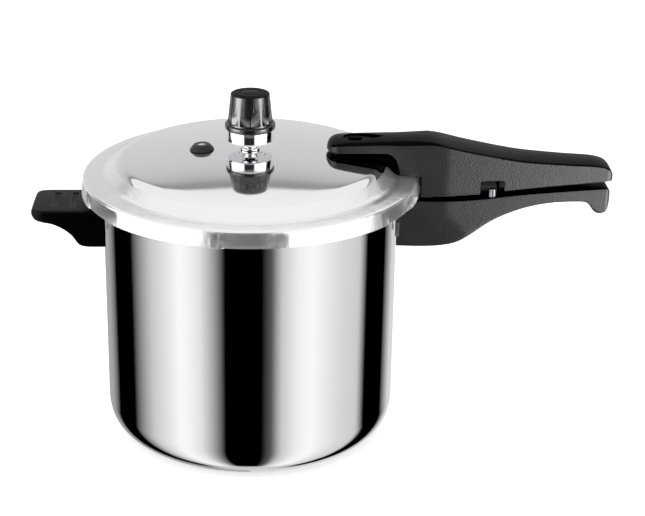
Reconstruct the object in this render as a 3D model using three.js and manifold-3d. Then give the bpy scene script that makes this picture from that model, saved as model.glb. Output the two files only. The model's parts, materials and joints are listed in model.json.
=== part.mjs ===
// A pressure canner with a bayonet lid: aluminium pot and lid, long two-part handle, helper handle,
// weighted regulator on a vent pipe, fusible safety plug, and a float valve with a sliding lid lock.
// Millimetres, +Z up. The origin is on the floor under the pot's centre and the long handle runs along +X.
import * as THREE from "three";
import { mergeVertices } from "three/addons/utils/BufferGeometryUtils.js";
import Module from "manifold-3d";

const wasm = await Module();
wasm.setup();

// ---- Driving dimensions -------------------------------------------------------------------------

const FIT = 0.3; // gap between pieces that touch
const CLEARANCE = 0.8; // gap between pieces that pass each other as the lid turns

const POT_RADIUS = 112; // outside of the wall
const POT_HEIGHT = 199.5; // floor to the top of the flange
const POT_WALL = 2.2;
const POT_BASE = 3;
const POT_CORNER = 25; // outside radius between wall and base
const FLANGE_WIDTH = 6; // the flange beyond the wall
const FLANGE_THICKNESS = 2;

const LUG_COUNT = 6;
const LUG_ANGLE = 25; // degrees that each lug spans
const LUG_WIDTH = 5.5; // each pot lug beyond the flange
const LUG_THICKNESS = 3;

const GASKET_HEIGHT = 4.6;
const GASKET_WIDTH = 9.5;

const LID_WALL = 2.2;
const RIM_GAP = 2.2; // pot lugs to the inside of the lid's skirt
const RIM_ROUND = 3.5; // outside radius between the lid's rim ring and its skirt
const RING_FALL = 0.9; // the rim ring falls this much towards the skirt
const PLATEAU_RISE = 10; // rim ring to the edge of the dome
const DOME_RISE = 6.4; // edge of the dome to its apex
const SLOPE_RUN = 11.5; // radial length of the slope between dome and rim ring
const SLOPE_INSET = 1.5; // foot of the slope inside the pot's wall
const DENT_DEPTH = 1.5; // each lid lug is pressed in this far

const VENT_THREAD = 5; // radius of the vent pipe's thread
const VENT_BORE = 1.6;
const VENT_COLLAR = 6.35;
const VENT_COLLAR_TOP = 6.1; // above the apex of the lid
const VENT_TIP = 3.6;
const VENT_TIP_LENGTH = 10;

const WEIGHT_RADIUS = 18;
const WEIGHT_HEIGHT = 9.6;
const WEIGHT_LIFT = 0.4; // the weight's skirt above the collar of the vent pipe
const CAP_FLANGE_RADIUS = 19;
const CAP_FLANGE_HEIGHT = 4;
const CAP_FOOT_RADIUS = 17;
const CAP_TOP_RADIUS = 14.6;
const CAP_HEIGHT = 27.5;
const CAP_WALL = 2.5;
const CAP_PANELS = 12;
const WEIGHT_STUD = 5;
const WEIGHT_SHOULDER = 10; // radius and
const WEIGHT_SHOULDER_HEIGHT = 5; // height of the step that the cap sits over

const PLUG_X = -36.5; // fusible plug
const PLUG_RADIUS = 9.2;
const PLUG_TOP_RADIUS = 6.2;
const PLUG_HEIGHT = 4.6;
const PLUG_NECK = 5.4;
const PLUG_CORE = 2.9;

const FLOAT_INSET = 49.1; // float valve, inward from the rim and under the nose of the lid handle
const FLOAT_STEM = 2.4;
const FLOAT_BUTTON = 4.2;
const FLOAT_TRAVEL = 4.5;
const FLOAT_THREAD = 5;
const FLOAT_FLANGE = 7;

const NOSE_REACH = 69.9; // nose of the lid handle, inward from the rim
const HANDLE_LENGTH = 145.1; // lid handle beyond the rim
const HANDLE_WALL = 3;
const NOSE_HALF_WIDTH = 14.8;
const BULGE_BEYOND_RIM = 12.1; // widest place of both handles
const BULGE_HALF_WIDTH = 18;
const TIP_HALF_WIDTH = 13.5;
const SCREW_BEYOND_RIM = 12.1;
const NOTCH_LENGTH = 18.8; // gap in the near wall, which the lock pin passes
const NOTCH_HEIGHT = 8; // above the top of the lock pin

const PIN_BEYOND_RIM = 55.3; // lock pin on the pot handle
const PIN_Y = -11;
const PIN_RADIUS = 2.45;
const PIN_HEIGHT = 13; // with the part that is sunk in the handle
const PIN_DEPTH = 16.5; // foot of the pin, down from the flange

const SLIDE_THICKNESS = 1.5;
const SLIDE_FALL = 4 / 56.5; // fall of the slide's front stretch for its length
const SLIDE_WIDTH = 5.5;
const SPRING_RADIUS = 2.6;
const SPRING_WIRE = 0.8;
const SPRING_LENGTH = 17;
const SPRING_TURNS = 5;

const MOUNT_DEPTH = 28.5; // middle of both handle brackets, down from the flange
const MOUNT_ANGLE = 14; // degrees of the wall that a bracket covers
const MOUNT_HEIGHT = 26;
const BRACKET_THICKNESS = 2;
const TONGUE_LENGTH = 22;
const TONGUE_HALF_WIDTH = 7;
const TONGUE_THICKNESS = 6;
const RIVET_SPACING = 17;
const RIVET_RADIUS = 2.2;
const RIVET_HEAD = 4.4;
const RIVET_HEAD_HEIGHT = 1.6;
const SCREW_RADIUS = 2.1;
const SCREW_HEAD = 4;

const HELPER_REACH = 53.5; // grip beyond the pot wall
const HELPER_HALF_WIDTH = 25;
const HELPER_ROOT_HALF_WIDTH = 24;
const HELPER_DEPTH = 16.5; // top of the grip, down from the flange

const ROUND_STEPS = 60; // sides of the large turned pieces
const SMALL_STEPS = 18; // sides of the small ones
const FASTENER_STEPS = 12; // sides of rivets and screws

// ---- Dimensions that follow ---------------------------------------------------------------------

const FLANGE_RADIUS = POT_RADIUS + FLANGE_WIDTH;
const LUG_RADIUS = FLANGE_RADIUS + LUG_WIDTH;
const SKIRT_INSIDE = LUG_RADIUS + RIM_GAP;
const RIM_RADIUS = SKIRT_INSIDE + LID_WALL;
const LID_LUG_RADIUS = FLANGE_RADIUS + CLEARANCE;
const LID_LUG_TOP = POT_HEIGHT - LUG_THICKNESS - FIT * 2;
const SKIRT_BOTTOM = LID_LUG_TOP - LUG_THICKNESS + FIT;
const GASKET_BOTTOM = POT_HEIGHT + FIT;
const RING_OUTER_Z = GASKET_BOTTOM + GASKET_HEIGHT + FIT + LID_WALL;
const RING_INNER_RADIUS = POT_RADIUS - SLOPE_INSET;
const PLATEAU_RADIUS = RING_INNER_RADIUS - SLOPE_RUN;
const RING_INNER_Z = RING_OUTER_Z + RING_FALL;
const PLATEAU_Z = RING_INNER_Z + PLATEAU_RISE;
const APEX_Z = PLATEAU_Z + DOME_RISE;
const DOME_RADIUS = (PLATEAU_RADIUS ** 2 + DOME_RISE ** 2) / (2 * DOME_RISE);
const VENT_TOP = APEX_Z + VENT_COLLAR_TOP;
const WEIGHT_BOTTOM = VENT_TOP + WEIGHT_LIFT;
const WEIGHT_TOP = WEIGHT_BOTTOM + WEIGHT_HEIGHT;
const SOCKET_RADIUS = VENT_TIP + 0.6;
const SOCKET_TOP = VENT_TOP + VENT_TIP_LENGTH + 1;
const CAP_BOTTOM = WEIGHT_TOP + FIT;
const CAP_TOP = CAP_BOTTOM + CAP_HEIGHT;
const MOUNT_Z = POT_HEIGHT - MOUNT_DEPTH;
const HELPER_TOP = POT_HEIGHT - HELPER_DEPTH;
const FLOAT_X = RIM_RADIUS - FLOAT_INSET;
const HANDLE_START = RIM_RADIUS - NOSE_REACH;
const HANDLE_END = RIM_RADIUS + HANDLE_LENGTH;
const BULGE_X = RIM_RADIUS + BULGE_BEYOND_RIM;
const HANDLE_SCREW_X = RIM_RADIUS + SCREW_BEYOND_RIM;
const PIN_X = RIM_RADIUS + PIN_BEYOND_RIM;
const PIN_FOOT = POT_HEIGHT - PIN_DEPTH;
const PIN_TOP = PIN_FOOT + PIN_HEIGHT;
const SLIDE_Y = -(NOSE_HALF_WIDTH - HANDLE_WALL - FIT - SLIDE_WIDTH / 2);

// Places on the pot's side are given from its wall and flange, and those on the lid from its rim.
const onPot = ([beyond, height]) => [POT_RADIUS + beyond, POT_HEIGHT + height];
const onLid = ([beyond, height]) => [RIM_RADIUS + beyond, RING_OUTER_Z + height];

const slopeZ = (radius) => PLATEAU_Z - ((radius - PLATEAU_RADIUS) * PLATEAU_RISE) / SLOPE_RUN;
const degrees = (angle) => (angle * Math.PI) / 180;
const domeZ = (radius) => APEX_Z - DOME_RADIUS + Math.sqrt(DOME_RADIUS ** 2 - radius ** 2);

// ---- Solids and meshes --------------------------------------------------------------------------

// A closed three.js geometry as a solid that can be joined and cut.
function toSolid(geometry) {
  const bare = geometry.index ? geometry.toNonIndexed() : geometry.clone();
  bare.deleteAttribute("normal");
  bare.deleteAttribute("uv");
  const merged = mergeVertices(bare, 1e-4);
  return new wasm.Manifold(
    new wasm.Mesh({
      numProp: 3,
      vertProperties: merged.attributes.position.array,
      triVerts: new Uint32Array(merged.index.array),
    }),
  );
}

function toGeometry(solid) {
  const mesh = solid.getMesh();
  const geometry = new THREE.BufferGeometry();
  geometry.setAttribute("position", new THREE.BufferAttribute(mesh.vertProperties, 3));
  geometry.setIndex(new THREE.BufferAttribute(mesh.triVerts, 1));
  const faceted = geometry.toNonIndexed();
  faceted.computeVertexNormals();
  return faceted;
}

const union = (...solids) => solids.reduce((sum, solid) => sum.add(solid));
const cut = (solid, ...tools) => tools.reduce((rest, tool) => rest.subtract(tool), solid);

function signedArea(points) {
  return points.reduce((sum, [x, y], i) => {
    const [nextX, nextY] = points[(i + 1) % points.length];
    return sum + (x * nextY - nextX * y) / 2;
  }, 0);
}

// A profile of [radius, z] points, turned about Z. It starts and ends on the axis, or closes on itself.
function turned(points, steps = SMALL_STEPS) {
  const outward = signedArea(points) > 0 ? points : [...points].reverse();
  const closed = outward[0][0] > 0 ? [...outward, outward[0]] : outward;
  const geometry = new THREE.LatheGeometry(closed.map(([x, y]) => new THREE.Vector2(x, y)), steps);
  return toSolid(geometry.rotateX(Math.PI / 2));
}

function outlineShape(points) {
  return new THREE.Shape(points.map(([x, y]) => new THREE.Vector2(x, y)));
}

// An outline of [x, y] points, extruded from one height to another.
function plate(points, low, high) {
  const geometry = new THREE.ExtrudeGeometry(outlineShape(points), { depth: high - low, bevelEnabled: false });
  return toSolid(geometry.translate(0, 0, low));
}

// An outline of [x, z] points, extruded across Y from one side to the other.
function slab(points, left, right) {
  const geometry = new THREE.ExtrudeGeometry(outlineShape(points), { depth: right - left, bevelEnabled: false });
  return toSolid(geometry.rotateX(Math.PI / 2).translate(0, right, 0));
}

function box(fromX, toX, fromY, toY, fromZ, toZ) {
  const geometry = new THREE.BoxGeometry(toX - fromX, toY - fromY, toZ - fromZ);
  return toSolid(geometry.translate((fromX + toX) / 2, (fromY + toY) / 2, (fromZ + toZ) / 2));
}

// An upright cylinder.
function post(radius, low, high, x = 0, y = 0, steps = SMALL_STEPS) {
  const profile = [[0, low], [radius, low], [radius, high], [0, high]];
  return turned(profile, steps).translate([x, y, 0]);
}

// The same turned profile laid down, with its axis along X at a height.
const alongX = (solid, z) => solid.rotate([0, 90, 0]).translate([0, 0, z]);

// Points of a quarter bend or any other stretch of a circle, angles in degrees.
function arc(centreX, centreY, radius, from, to, steps) {
  return Array.from({ length: steps + 1 }, (_, i) => {
    const angle = degrees(from + ((to - from) * i) / steps);
    return [centreX + radius * Math.cos(angle), centreY + radius * Math.sin(angle)];
  });
}

// An open line of points moved sideways by a distance, to the right of its direction.
function offsetLine(points, distance) {
  return points.map(([x, y], i) => {
    const before = points[Math.max(i - 1, 0)];
    const after = points[Math.min(i + 1, points.length - 1)];
    const inLeg = new THREE.Vector2(x - before[0], y - before[1]).normalize();
    const outLeg = new THREE.Vector2(after[0] - x, after[1] - y).normalize();
    const along = inLeg.clone().add(outLeg).normalize();
    const reach = distance / Math.max(along.dot(inLeg.lengthSq() > 0 ? inLeg : outLeg), 0.5);
    return [x + along.y * reach, y - along.x * reach];
  });
}

// A line that passes smoothly through a few points.
function smooth(points, steps) {
  const curve = new THREE.SplineCurve(points.map(([x, y]) => new THREE.Vector2(x, y)));
  return curve.getPoints(steps).map((point) => [point.x, point.y]);
}

// A wedge of the full circle about Z, used to keep a stretch of a turned solid.
function wedge(middle, width, low, high) {
  const reach = RIM_RADIUS * 1.5;
  return plate([[0, 0], ...arc(0, 0, reach, middle - width / 2, middle + width / 2, 4)], low, high);
}

const canner = new THREE.Group();

function part(name, material, solid) {
  const mesh = new THREE.Mesh(toGeometry(solid), material);
  mesh.name = name;
  canner.add(mesh);
  return mesh;
}

function finish(color, roughness, metalness) {
  return new THREE.MeshStandardMaterial({ color, roughness, metalness });
}

const polishedAluminium = finish(0xdadbdc, 0.12, 1);
const chrome = finish(0xe4e4e6, 0.06, 1);
const zincSteel = finish(0xb4b6b8, 0.35, 1);
const bakelite = finish(0x151515, 0.42, 0);
const satinBakelite = finish(0x1c1c1c, 0.55, 0);
const blackRubber = finish(0x202020, 0.8, 0);
const greyRubber = finish(0xc9c8c4, 0.65, 0);

// ---- Pot ----------------------------------------------------------------------------------------

function lugAngles() {
  return Array.from({ length: LUG_COUNT }, (_, i) => -90 + (i * 360) / LUG_COUNT);
}

function rivetHeights() {
  return [MOUNT_Z - RIVET_SPACING / 2, MOUNT_Z + RIVET_SPACING / 2];
}

function potShell() {
  const innerCorner = POT_CORNER - POT_WALL;
  const cornerCentre = POT_RADIUS - POT_CORNER;
  const shell = turned([
    [0, 0],
    ...arc(cornerCentre, POT_CORNER, POT_CORNER, -90, 0, 4),
    [POT_RADIUS, POT_HEIGHT - FLANGE_THICKNESS],
    [FLANGE_RADIUS, POT_HEIGHT - FLANGE_THICKNESS],
    [FLANGE_RADIUS, POT_HEIGHT],
    [POT_RADIUS - POT_WALL, POT_HEIGHT],
    ...arc(cornerCentre, POT_BASE + innerCorner, innerCorner, 0, -90, 4),
    [0, POT_BASE],
  ], ROUND_STEPS);
  const lugRing = turned([
    [FLANGE_RADIUS - 1, POT_HEIGHT - LUG_THICKNESS],
    [LUG_RADIUS, POT_HEIGHT - LUG_THICKNESS],
    [LUG_RADIUS, POT_HEIGHT],
    [FLANGE_RADIUS - 1, POT_HEIGHT],
  ], ROUND_STEPS);
  const lugs = lugAngles().map((angle) => lugRing.intersect(
    wedge(angle, LUG_ANGLE, POT_HEIGHT - LUG_THICKNESS - 1, POT_HEIGHT + 1),
  ));
  const holes = [1, -1].flatMap((side) => rivetHeights().map((z) =>
    alongX(post(RIVET_RADIUS + FIT, POT_RADIUS - 8, POT_RADIUS + 4), z).rotate([0, 0, side > 0 ? 0 : 180])));
  return cut(union(shell, ...lugs), ...holes);
}

part("pot_shell", polishedAluminium, potShell());

// A bracket on the pot's wall at +X, grown on every side by a margin to make the socket that holds it.
function bracket(margin = 0) {
  const inside = POT_RADIUS + FIT * (margin > 0 ? 0 : 1) - margin;
  const outside = POT_RADIUS + FIT + BRACKET_THICKNESS + margin;
  const low = MOUNT_Z - MOUNT_HEIGHT / 2 - margin;
  const high = MOUNT_Z + MOUNT_HEIGHT / 2 + margin;
  const saddle = turned([[inside, low], [outside, low], [outside, high], [inside, high]], ROUND_STEPS)
    .intersect(wedge(0, MOUNT_ANGLE + margin * 2, low, high));
  const tongue = box(
    outside - BRACKET_THICKNESS / 2, POT_RADIUS + TONGUE_LENGTH + margin,
    -TONGUE_HALF_WIDTH - margin, TONGUE_HALF_WIDTH + margin,
    MOUNT_Z - TONGUE_THICKNESS / 2 - margin, MOUNT_Z + TONGUE_THICKNESS / 2 + margin,
  );
  return union(saddle, tongue);
}

const MOUNT_SCREW_X = POT_RADIUS + TONGUE_LENGTH - TONGUE_HALF_WIDTH;

function drilledBracket() {
  const rivetHoles = rivetHeights().map((z) =>
    alongX(post(RIVET_RADIUS + FIT, POT_RADIUS, POT_RADIUS + 8), z));
  const screwHole = post(SCREW_RADIUS + FIT, MOUNT_Z - TONGUE_THICKNESS, MOUNT_Z + TONGUE_THICKNESS, MOUNT_SCREW_X);
  return cut(bracket(), ...rivetHoles, screwHole);
}

// A rivet with a domed head inside the pot and a flat one outside the bracket.
function mountRivet(z) {
  const innerFace = POT_RADIUS - POT_WALL - FIT;
  const outerFace = POT_RADIUS + FIT + BRACKET_THICKNESS + FIT;
  return alongX(turned([
    [0, innerFace - RIVET_HEAD_HEIGHT],
    [RIVET_HEAD * 0.6, innerFace - RIVET_HEAD_HEIGHT * 0.85],
    [RIVET_HEAD, innerFace - RIVET_HEAD_HEIGHT * 0.3],
    [RIVET_HEAD, innerFace],
    [RIVET_RADIUS, innerFace],
    [RIVET_RADIUS, outerFace],
    [RIVET_HEAD - 0.6, outerFace],
    [RIVET_HEAD - 0.6, outerFace + RIVET_HEAD_HEIGHT * 0.7],
    [0, outerFace + RIVET_HEAD_HEIGHT],
  ], FASTENER_STEPS), z);
}

// What a handle is hollowed by: the pot itself, its bracket, the rivet heads and its screw from below.
function mountPocket() {
  const pot = post(POT_RADIUS + FIT * 1.5, MOUNT_Z - 50, POT_HEIGHT + 20, 0, 0, ROUND_STEPS);
  const heads = rivetHeights().map((z) =>
    alongX(post(RIVET_HEAD + FIT, POT_RADIUS, POT_RADIUS + BRACKET_THICKNESS + RIVET_HEAD_HEIGHT + FIT * 4), z));
  return union(pot, bracket(FIT), ...heads, screwPocket());
}

const MOUNT_SCREW_SEAT = MOUNT_Z - 11;
const MOUNT_SCREW_TOP = MOUNT_Z + 6.5;

function screwPocket() {
  const headRoom = post(SCREW_HEAD + FIT * 2, MOUNT_Z - 50, MOUNT_SCREW_SEAT, MOUNT_SCREW_X);
  return union(headRoom, post(SCREW_RADIUS + FIT, MOUNT_SCREW_SEAT - 1, MOUNT_SCREW_TOP + 1, MOUNT_SCREW_X));
}

function mountScrew() {
  const head = MOUNT_SCREW_SEAT - FIT;
  const slot = box(MOUNT_SCREW_X - 5, MOUNT_SCREW_X + 5, -0.5, 0.5, head - 4, head - 1.7);
  return cut(turned([
    [0, head - 2.8],
    [SCREW_HEAD - 0.8, head - 2.8],
    [SCREW_HEAD, head - 2],
    [SCREW_HEAD, head],
    [SCREW_RADIUS, head],
    [SCREW_RADIUS, MOUNT_SCREW_TOP - 1],
    [0, MOUNT_SCREW_TOP],
  ], FASTENER_STEPS).translate([MOUNT_SCREW_X, 0, 0]), slot);
}

// Half-width of both long handles at a place along them.
function handleHalfWidth(x) {
  if (x < BULGE_X) {
    const share = Math.max(0, (x - PLATEAU_RADIUS) / (BULGE_X - PLATEAU_RADIUS));
    const eased = share * share * (3 - 2 * share);
    return NOSE_HALF_WIDTH + (BULGE_HALF_WIDTH - NOSE_HALF_WIDTH) * eased;
  }
  const share = (x - BULGE_X) / (HANDLE_END - BULGE_X);
  return BULGE_HALF_WIDTH + (TIP_HALF_WIDTH - BULGE_HALF_WIDTH) * share;
}

// The plan outline of a long handle between two places, with a rounded end at the tip.
function handlePlan(start, end, inset, noseRadius) {
  const side = [];
  const steps = 8;
  for (let i = 0; i <= steps; i++) {
    const x = start + noseRadius + ((end - start - noseRadius - 6) * i) / steps;
    side.push([x, handleHalfWidth(x) - inset]);
  }
  const nose = noseRadius > 0
    ? arc(start + noseRadius, 0, 1, 180, 98, 5).map(([x, y]) => [
      start + noseRadius + (x - start - noseRadius) * noseRadius,
      y * (handleHalfWidth(start + noseRadius) - inset),
    ])
    : [];
  const tip = [[end - 2, handleHalfWidth(end) - inset - 1.5], [end, handleHalfWidth(end) - inset - 5]];
  const half = [...nose, ...side, ...tip];
  const mirrored = [...half].reverse().map(([x, y]) => [x, -y]);
  return noseRadius > 0 ? [...half, ...mirrored.slice(0, -1)] : [...half, ...mirrored];
}

// Lower edge of the lid handle, from the rim to the tip.
const LID_HANDLE_EDGE = [
  [2.6, -16.1],
  [44.7, -13.7],
  [64.6, -11.2],
  [93.1, -8.5],
  [141.7, -4.6],
].map(onLid);

function potHandle() {
  const topEdge = [
    [-8, -11.9],
    [34, -11.5],
    [60, -10.4],
    [88, -7.4],
    [120, -5.1],
    [156.4, -3.1],
    [159.2, -4.1],
  ];
  const underEdge = [
    [160, -10.8],
    [159.6, -15.7],
    [157.2, -19.6],
    [152.7, -21.9],
    [149.6, -20.9],
    [146.7, -17.5],
    [143.4, -15],
    [136, -13.8],
    [114.6, -14.6],
    [99.7, -17.2],
    [85, -21.7],
    [70.2, -28.6],
    [55.5, -38.6],
    [45.5, -44.9],
    [34.9, -47.8],
    [6, -49.5],
    [-8, -49.5],
  ];
  const outer = slab([...topEdge, ...underEdge].map(onPot).reverse(), -30, 30)
    .intersect(plate(handlePlan(POT_RADIUS - 8, HANDLE_END - 0.6, 1, 0), MOUNT_Z - 40, POT_HEIGHT));
  const pinHole = post(PIN_RADIUS + FIT, PIN_FOOT, PIN_TOP + 4, PIN_X, PIN_Y);
  return cut(outer, mountPocket(), pinHole);
}

part("pot_handle", bakelite, potHandle());
part("pot_handle_bracket", zincSteel, drilledBracket());
part("pot_handle_screw", zincSteel, mountScrew());
rivetHeights().forEach((z, i) => part(`pot_handle_rivet_${i + 1}`, polishedAluminium, mountRivet(z)));

function lockPin() {
  const foot = PIN_FOOT + FIT;
  return turned([
    [0, foot],
    [PIN_RADIUS, foot],
    [PIN_RADIUS, PIN_TOP - 1.2],
    [PIN_RADIUS - 0.7, PIN_TOP - 0.3],
    [0, PIN_TOP],
  ]).translate([PIN_X, PIN_Y, 0]);
}

part("lock_pin", chrome, lockPin());

// ---- Helper handle, opposite the long one -------------------------------------------------------

function helperHandle() {
  const end = POT_RADIUS + HELPER_REACH;
  const profile = [
    [-8, 0],
    [-8, -30.4],
    [12, -30.7],
    [16.9, -28.1],
    [22.4, -20.6],
    [28.6, -15.5],
    [36.8, -11.3],
    [45.3, -9.6],
    [HELPER_REACH - 3, -8],
    [HELPER_REACH, -5],
    [HELPER_REACH, -2.5],
    [HELPER_REACH - 2.5, 0],
  ].map(([beyond, height]) => [POT_RADIUS + beyond, HELPER_TOP + height]);
  const side = [[-8, HELPER_ROOT_HALF_WIDTH], [8, HELPER_ROOT_HALF_WIDTH], [28, HELPER_HALF_WIDTH]]
    .map(([beyond, y]) => [POT_RADIUS + beyond, y]);
  const plan = [
    ...side.map(([x, y]) => [x, -y]),
    ...arc(end - 9, -HELPER_HALF_WIDTH + 9, 9, -90, 0, 4),
    ...arc(end - 9, HELPER_HALF_WIDTH - 9, 9, 0, 90, 4),
    ...side.reverse(),
  ];
  const outer = slab(profile, -40, 40).intersect(plate(plan, HELPER_TOP - 43, HELPER_TOP + 7));
  const recesses = [18, 32].map((beyond) => box(
    POT_RADIUS + beyond, POT_RADIUS + beyond + 5, -16, 16, HELPER_TOP - 1, HELPER_TOP + 5,
  ));
  return cut(outer, mountPocket(), ...recesses);
}

const turnRound = (solid) => solid.rotate([0, 0, 180]);

part("helper_handle", bakelite, turnRound(helperHandle()));
part("helper_bracket", zincSteel, turnRound(drilledBracket()));
part("helper_screw", zincSteel, turnRound(mountScrew()));
rivetHeights().forEach((z, i) => part(`helper_rivet_${i + 1}`, polishedAluminium, turnRound(mountRivet(z))));

// ---- Lid ----------------------------------------------------------------------------------------

// The lid's outer line from the apex to the bottom of the skirt.
function lidLine() {
  const domeEdge = PLATEAU_RADIUS - 4;
  const dome = [0, 0.35, 0.7, 1].map((share) => [domeEdge * share, domeZ(domeEdge * share)]);
  const slopeAngle = Math.atan2(PLATEAU_RISE, SLOPE_RUN);
  const onSlope = (run) => [
    PLATEAU_RADIUS + run * Math.cos(slopeAngle),
    PLATEAU_Z - run * Math.sin(slopeAngle),
  ];
  const skirtCorner = [RIM_RADIUS - RIM_ROUND, RING_OUTER_Z - RIM_ROUND];
  return [
    ...dome,
    [PLATEAU_RADIUS - 0.6, PLATEAU_Z - 0.2],
    onSlope(3.2),
    onSlope(12.4),
    [RING_INNER_RADIUS + 0.1, RING_INNER_Z + 0.75],
    [RING_INNER_RADIUS + 2.6, RING_INNER_Z],
    ...arc(...skirtCorner, RIM_ROUND, 86, 0, 3),
    [RIM_RADIUS, SKIRT_BOTTOM],
  ];
}

const FUSE_TILT = (Math.asin(PLUG_X / DOME_RADIUS) * 180) / Math.PI;

// Moves a solid built at the apex to a place on the dome, square to the surface there.
function onDome(solid, x, tilt) {
  return solid.translate([0, 0, -APEX_Z]).rotate([0, tilt, 0]).translate([x, 0, domeZ(Math.abs(x))]);
}

const FLOAT_PAD_TOP = domeZ(FLOAT_X - FLOAT_FLANGE - 1) + 0.1;
const LID_BRACKET_RIVET_X = PLATEAU_RADIUS - 5.5;
const LID_BRACKET_RIVET_Y = 6.5;

function lidShell() {
  const outer = lidLine();
  const inner = offsetLine(outer, LID_WALL).map(([r, z]) => [Math.max(r, 0), z]);
  inner[0] = [0, APEX_Z - LID_WALL];
  inner[inner.length - 1] = [SKIRT_INSIDE, SKIRT_BOTTOM];
  const shell = turned([...outer, ...inner.reverse()], ROUND_STEPS);
  const dentInside = SKIRT_INSIDE - DENT_DEPTH;
  const lugRing = turned([
    [LID_LUG_RADIUS, SKIRT_BOTTOM],
    [RIM_RADIUS - 0.5, SKIRT_BOTTOM],
    [RIM_RADIUS - 0.5, RING_OUTER_Z - RIM_ROUND],
    [SKIRT_INSIDE + 0.2, RING_OUTER_Z - RIM_ROUND - 0.5],
    [dentInside, RING_OUTER_Z - RIM_ROUND - 3],
    [dentInside, LID_LUG_TOP],
    [LID_LUG_RADIUS, LID_LUG_TOP],
  ], ROUND_STEPS);
  const dentRing = turned([
    [RIM_RADIUS - DENT_DEPTH, SKIRT_BOTTOM - 1],
    [RIM_RADIUS + 2, SKIRT_BOTTOM - 1],
    [RIM_RADIUS + 2, RING_OUTER_Z - RIM_ROUND + 1],
    [RIM_RADIUS - DENT_DEPTH, RING_OUTER_Z - RIM_ROUND - 2],
  ], ROUND_STEPS);
  const bottom = SKIRT_BOTTOM - 2;
  const top = RING_OUTER_Z + 2;
  const lugs = lugAngles().map((angle) => lugRing.intersect(wedge(angle, LUG_ANGLE, bottom, top)));
  const dents = lugAngles().map((angle) => dentRing.intersect(wedge(angle, LUG_ANGLE, bottom, top)));
  const pad = post(FLOAT_FLANGE + 1, domeZ(FLOAT_X + FLOAT_FLANGE) - LID_WALL, FLOAT_PAD_TOP, FLOAT_X);
  const holes = [
    post(VENT_THREAD + FIT, APEX_Z - 9, APEX_Z + 9),
    onDome(post(PLUG_NECK + FIT, APEX_Z - 9, APEX_Z + 9), PLUG_X, FUSE_TILT),
    post(FLOAT_THREAD + FIT, FLOAT_PAD_TOP - 12, FLOAT_PAD_TOP + 9, FLOAT_X),
    ...[-1, 1].map((side) =>
      post(RIVET_RADIUS + FIT, PLATEAU_Z - 9, PLATEAU_Z + 9, LID_BRACKET_RIVET_X, side * LID_BRACKET_RIVET_Y)),
  ];
  return cut(union(shell, ...lugs, pad), ...dents, ...holes);
}

part("lid_shell", polishedAluminium, lidShell());

// A lip seal: one lip on the pot's flange and one under the lid, joined by a wall at the outside.
function gasket() {
  const wall = 2.4;
  const lipTip = 0.9;
  const lipRoot = 1.3;
  const outside = SKIRT_INSIDE - DENT_DEPTH - FIT * 2;
  const inside = outside - GASKET_WIDTH;
  const top = GASKET_BOTTOM + GASKET_HEIGHT;
  return turned([
    [inside, GASKET_BOTTOM],
    [outside, GASKET_BOTTOM],
    [outside, top],
    [inside + 1.5, top],
    [inside + 1.5, top - lipTip],
    [outside - wall, top - lipRoot],
    [outside - wall, GASKET_BOTTOM + lipRoot],
    [inside, GASKET_BOTTOM + lipTip],
  ], ROUND_STEPS);
}

part("lid_gasket", greyRubber, gasket());

// ---- Vent pipe and regulator --------------------------------------------------------------------

const VENT_WASHER = 1.6; // thickness of the sealing washer under the lid
const VENT_NUT = 3.6;
const VENT_STUD = 10.5; // thread below the lid

function ventPipe() {
  const foot = APEX_Z - LID_WALL - VENT_STUD;
  const waist = VENT_COLLAR - 1.5;
  return turned([
    [VENT_BORE, foot],
    [VENT_THREAD, foot],
    [VENT_THREAD, APEX_Z + FIT],
    [VENT_COLLAR + 1.4, APEX_Z + FIT],
    [VENT_COLLAR + 1.4, APEX_Z + 1.3],
    [VENT_COLLAR, APEX_Z + 1.9],
    [VENT_COLLAR, APEX_Z + 3],
    [waist, APEX_Z + 3.6],
    [waist, APEX_Z + 4],
    [VENT_COLLAR, APEX_Z + 4.6],
    [VENT_COLLAR, VENT_TOP - 0.5],
    [VENT_COLLAR - 0.5, VENT_TOP],
    [VENT_TIP, VENT_TOP],
    [VENT_TIP, VENT_TOP + VENT_TIP_LENGTH - 2],
    [VENT_BORE + 0.6, VENT_TOP + VENT_TIP_LENGTH],
    [VENT_BORE, VENT_TOP + VENT_TIP_LENGTH],
  ]);
}

// A flat ring between two heights.
function ring(inside, outside, low, high, steps = SMALL_STEPS) {
  return turned([[inside, low], [outside, low], [outside, high], [inside, high]], steps);
}

part("vent_pipe", chrome, ventPipe());

const VENT_WASHER_TOP = APEX_Z - LID_WALL - FIT;
const VENT_NUT_TOP = VENT_WASHER_TOP - VENT_WASHER - FIT;

part("vent_washer", greyRubber, ring(VENT_THREAD + FIT, 9, VENT_WASHER_TOP - VENT_WASHER, VENT_WASHER_TOP));
part("vent_nut", chrome, cut(
  post(8.5, VENT_NUT_TOP - VENT_NUT, VENT_NUT_TOP, 0, 0, 6),
  post(VENT_THREAD + FIT, VENT_NUT_TOP - VENT_NUT - 1, VENT_NUT_TOP + 1),
));

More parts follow.
